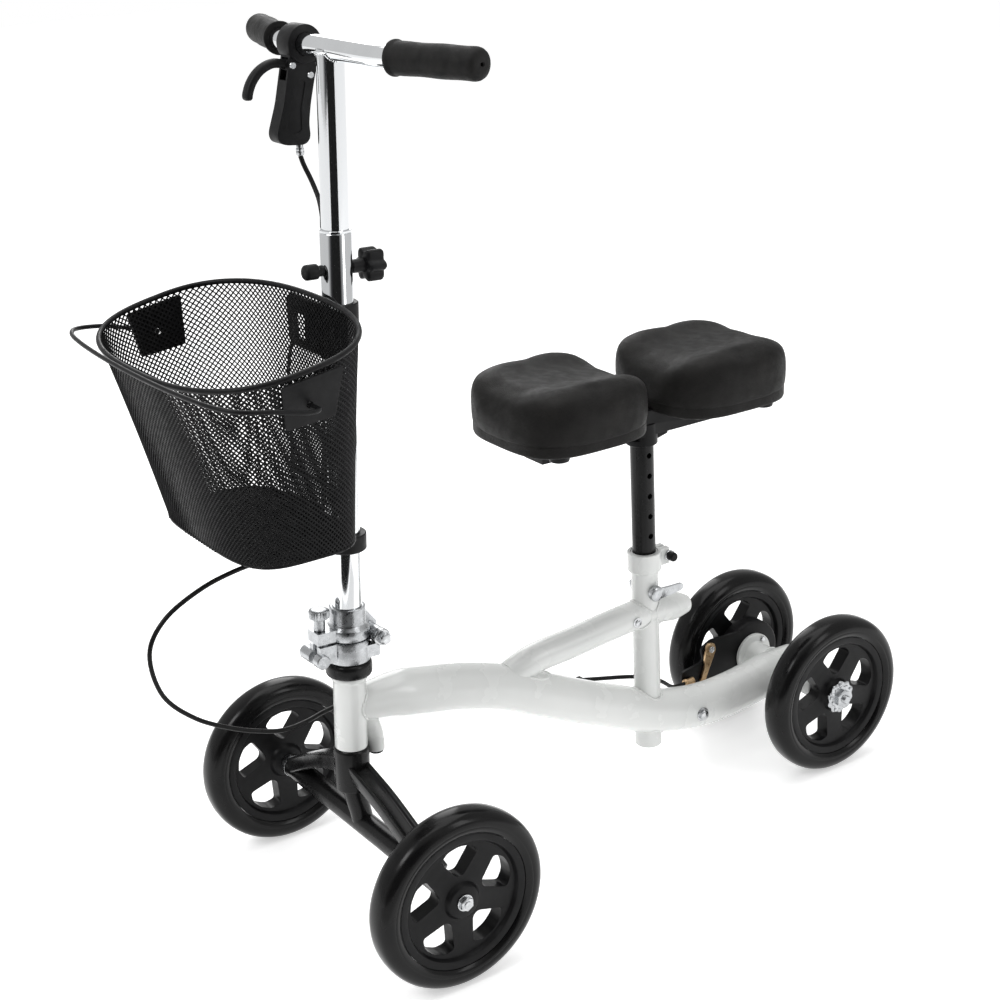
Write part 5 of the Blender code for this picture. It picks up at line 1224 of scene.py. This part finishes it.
def build_pad(place, y, inner):
    bm = bmesh.new()
    rings = []
    levels = ((0.0, 0.0045), (0.002, 0.003), (0.007, 0.0022), (0.016, 0.0016), (0.03, 0.0014),
        (0.042, 0.0018), (0.05, 0.0034), (0.055, 0.0064), (0.0585, 0.011), (0.061, 0.018), (0.0622, 0.029),
        (PAD_CROWN, 0.043), (PAD_CROWN, 0.057), (PAD_CROWN, 0.07), (PAD_CROWN, 0.08))
    for height, inset in levels:
        ring = []
        for px, py in pad_outline(inset, 96, 0.62):
            dip = pad_height(px, py, inner) * min(height / PAD_CROWN, 1.0) ** 2
            ring.append(bm.verts.new((px, py, height + dip)))
        rings.append(ring)
    for first, second in zip(rings, rings[1:]):
        bridge(bm, first, second)
    bm.faces.new(rings[0])
    bm.faces.new(rings[-1])
    mesh = mesh_from(bm, 180.0)
    matrix = at(0.0, y, PAD_BOTTOM + 0.0004)
    cushion = piece("cushion_" + place, mesh, "seat", LEATHER, matrix, ["pad_" + place])
    inflate(cushion)

    # The cover wraps round the rim of the base and hides the board; two bosses stand below its outer end.
    bm = bmesh.new()
    rings = []
    for inset, height in ((0.0042, 0.006), (0.0042, -0.004), (0.005, -0.0064), (0.0072, -0.0076),
            (0.015, -0.0076), (0.017, -0.0066), (0.0175, -0.004), (0.0175, 0.006)):
        rings.append([bm.verts.new((x, y, height)) for x, y in pad_outline(inset, 120, 0.6)])
    for i, ring in enumerate(rings):
        bridge(bm, ring, rings[(i + 1) % len(rings)])
    piece("pad_rim_" + place, mesh_from(bm, 60.0), "seat", LEATHER, matrix)
    bm = bmesh.new()
    for side in (-1, 1):
        add_lathe(bm, [(0.009, -0.016), (0.0108, -0.0152), (0.0118, -0.011), (0.0128, -0.004)], 40,
            offset=(side * 0.06, inner * -0.044, 0.0))
    piece("pad_feet_" + place, bm, "seat", PLASTIC, matrix)


def pad_outline(inset, count, power):
    """Rounded outline of a pad, drawn in by inset; a lower power makes its corners squarer."""
    points = []
    for i in range(count):
        c, s = (turn(2 * math.pi * (i + 0.5) / count) for turn in (math.cos, math.sin))
        points.append((math.copysign(abs(c) ** power, c) * (PAD_WIDTH / 2 - inset),
            math.copysign(abs(s) ** power, s) * (PAD_LENGTH / 2 - inset)))
    return points


def inflate(cushion):
    """Swell the cushion with a short cloth simulation, cap how far it moves, and smooth it."""
    work = bpy.data.objects.new("swelling", cushion.data.copy())
    bpy.context.scene.collection.objects.link(work)
    work.matrix_world = cushion.matrix_world
    remesh = work.modifiers.new("Remesh", "REMESH")
    remesh.mode = "VOXEL"
    remesh.voxel_size = 0.005
    graph = bpy.context.evaluated_depsgraph_get()
    start = bpy.data.meshes.new_from_object(work.evaluated_get(graph))
    work.modifiers.clear()
    work.data = start
    group = work.vertex_groups.new(name="pinned")
    group.add([v.index for v in start.vertices if v.co.z < 0.004], 1.0, "REPLACE")
    cloth = work.modifiers.new("Cloth", "CLOTH")
    cloth.settings.use_pressure = True
    cloth.settings.uniform_pressure_force = 4.0
    cloth.settings.vertex_group_mass = "pinned"
    cloth.settings.effector_weights.gravity = 0.0
    for frame_number in range(1, 21):
        bpy.context.scene.frame_set(frame_number)
    graph = bpy.context.evaluated_depsgraph_get()
    swollen = bpy.data.meshes.new_from_object(work.evaluated_get(graph))
    for vertex, origin in zip(swollen.vertices, start.vertices):
        move = vertex.co - origin.co
        if move.length > PAD_SWELL:
            vertex.co = origin.co + move.normalized() * PAD_SWELL
    bpy.data.objects.remove(work, do_unlink=True)
    bpy.context.scene.frame_set(1)
    swollen.materials.clear()
    swollen.materials.append(LEATHER)
    swollen.shade_smooth()
    cushion.data = swollen
    smooth = cushion.modifiers.new("Smooth", "CORRECTIVE_SMOOTH")
    smooth.iterations = 6
    smooth.use_only_smooth = True
    subdivision = cushion.modifiers.new("Subdivision", "SUBSURF")
    subdivision.levels = 1
    subdivision.render_levels = 1


# ---------------------------------------------------------------- brake cable

CABLE_ROUTE = [(-0.06, 0.016, 0.8262), (-0.058, 0.018, 0.817), (-0.05, 0.021, 0.802), (-0.039, 0.0215, 0.786),
    (-0.03, 0.019, 0.772), (-0.0275, 0.0175, 0.763), (-0.027, 0.015, 0.73), (-0.027, 0.013, 0.69),
    (-0.027, 0.011, 0.65), (-0.027, 0.005, 0.59), (-0.027, 0.001, 0.53), (-0.027, -0.005, 0.472),
    (-0.0265, -0.022, 0.44), (-0.0245, -0.06, 0.429), (-0.0225, -0.114, 0.425), (-0.0205, -0.157, 0.416),
    (-0.02, -0.198, 0.395), (-0.02, -0.218, 0.3625), (-0.02, -0.209, 0.314), (-0.019, -0.177, 0.278),
    (-0.015, -0.138, 0.255), (-0.01, -0.1054, 0.243), (-0.011, -0.08, 0.236), (-0.022, -0.048, 0.231),
    (-0.033, -0.015, 0.23), (-0.0345, 0.03, 0.232), (-0.033, 0.08, 0.229), (-0.032, 0.13, 0.221),
    (-0.032, 0.2, 0.201), (-0.032, 0.26, 0.18), (-0.031, 0.323, 0.161), (-0.031, 0.404, 0.14),
    (-0.034, 0.446, 0.121), (-0.043, 0.474, 0.1), (-0.0476, 0.489, 0.0942), (-0.0476, 0.4996, 0.094)]
CABLE_STEPS = 8  # points of the curve for each length of the route


def cable_piece(name, curve, first, last, nodes):
    mesh = tube(curve[first * CABLE_STEPS:last * CABLE_STEPS + 1], 0.0025, 16)
    obj = bpy.data.objects.new(name, mesh)
    bpy.context.scene.collection.objects.link(obj)
    obj.matrix_world = AXLE
    mesh.materials.append(CABLE)
    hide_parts(*nodes)
    return obj


def build_cable():
    """One curve in three lengths: to the bar, down the stem, and round the fork to the brake."""
    curve = smooth_path(CABLE_ROUTE, CABLE_STEPS)
    hand = cable_piece("cable_housing_hand", curve, 0, 8, ["cable_bar", "cable_slack"])
    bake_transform(hand)
    stem = cable_piece("cable_housing_stem", curve, 8, 17, ["cable_stem"])
    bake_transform(stem)
    rest = cable_piece("cable_housing_frame", curve, 17, len(CABLE_ROUTE) - 1, ["cable_fork", "cable_frame"])
    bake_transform(rest)
    bm = bmesh.new()
    for y, z in ((0.13, 0.221), (0.323, 0.161)):
        add_box(bm, (-0.0345, y - 0.003, z - 0.0036), (-0.0215, y + 0.003, z + 0.0036))
    piece("cable_clips", bm, "frame", PLASTIC, AXLE, [], 0.0009)


def main():
    build_stage()
    build_wheels()
    build_axles()
    build_frame()
    build_brake()
    build_fork()
    build_hinge()
    build_stem()
    build_basket()
    build_seat()
    build_cable()


main()
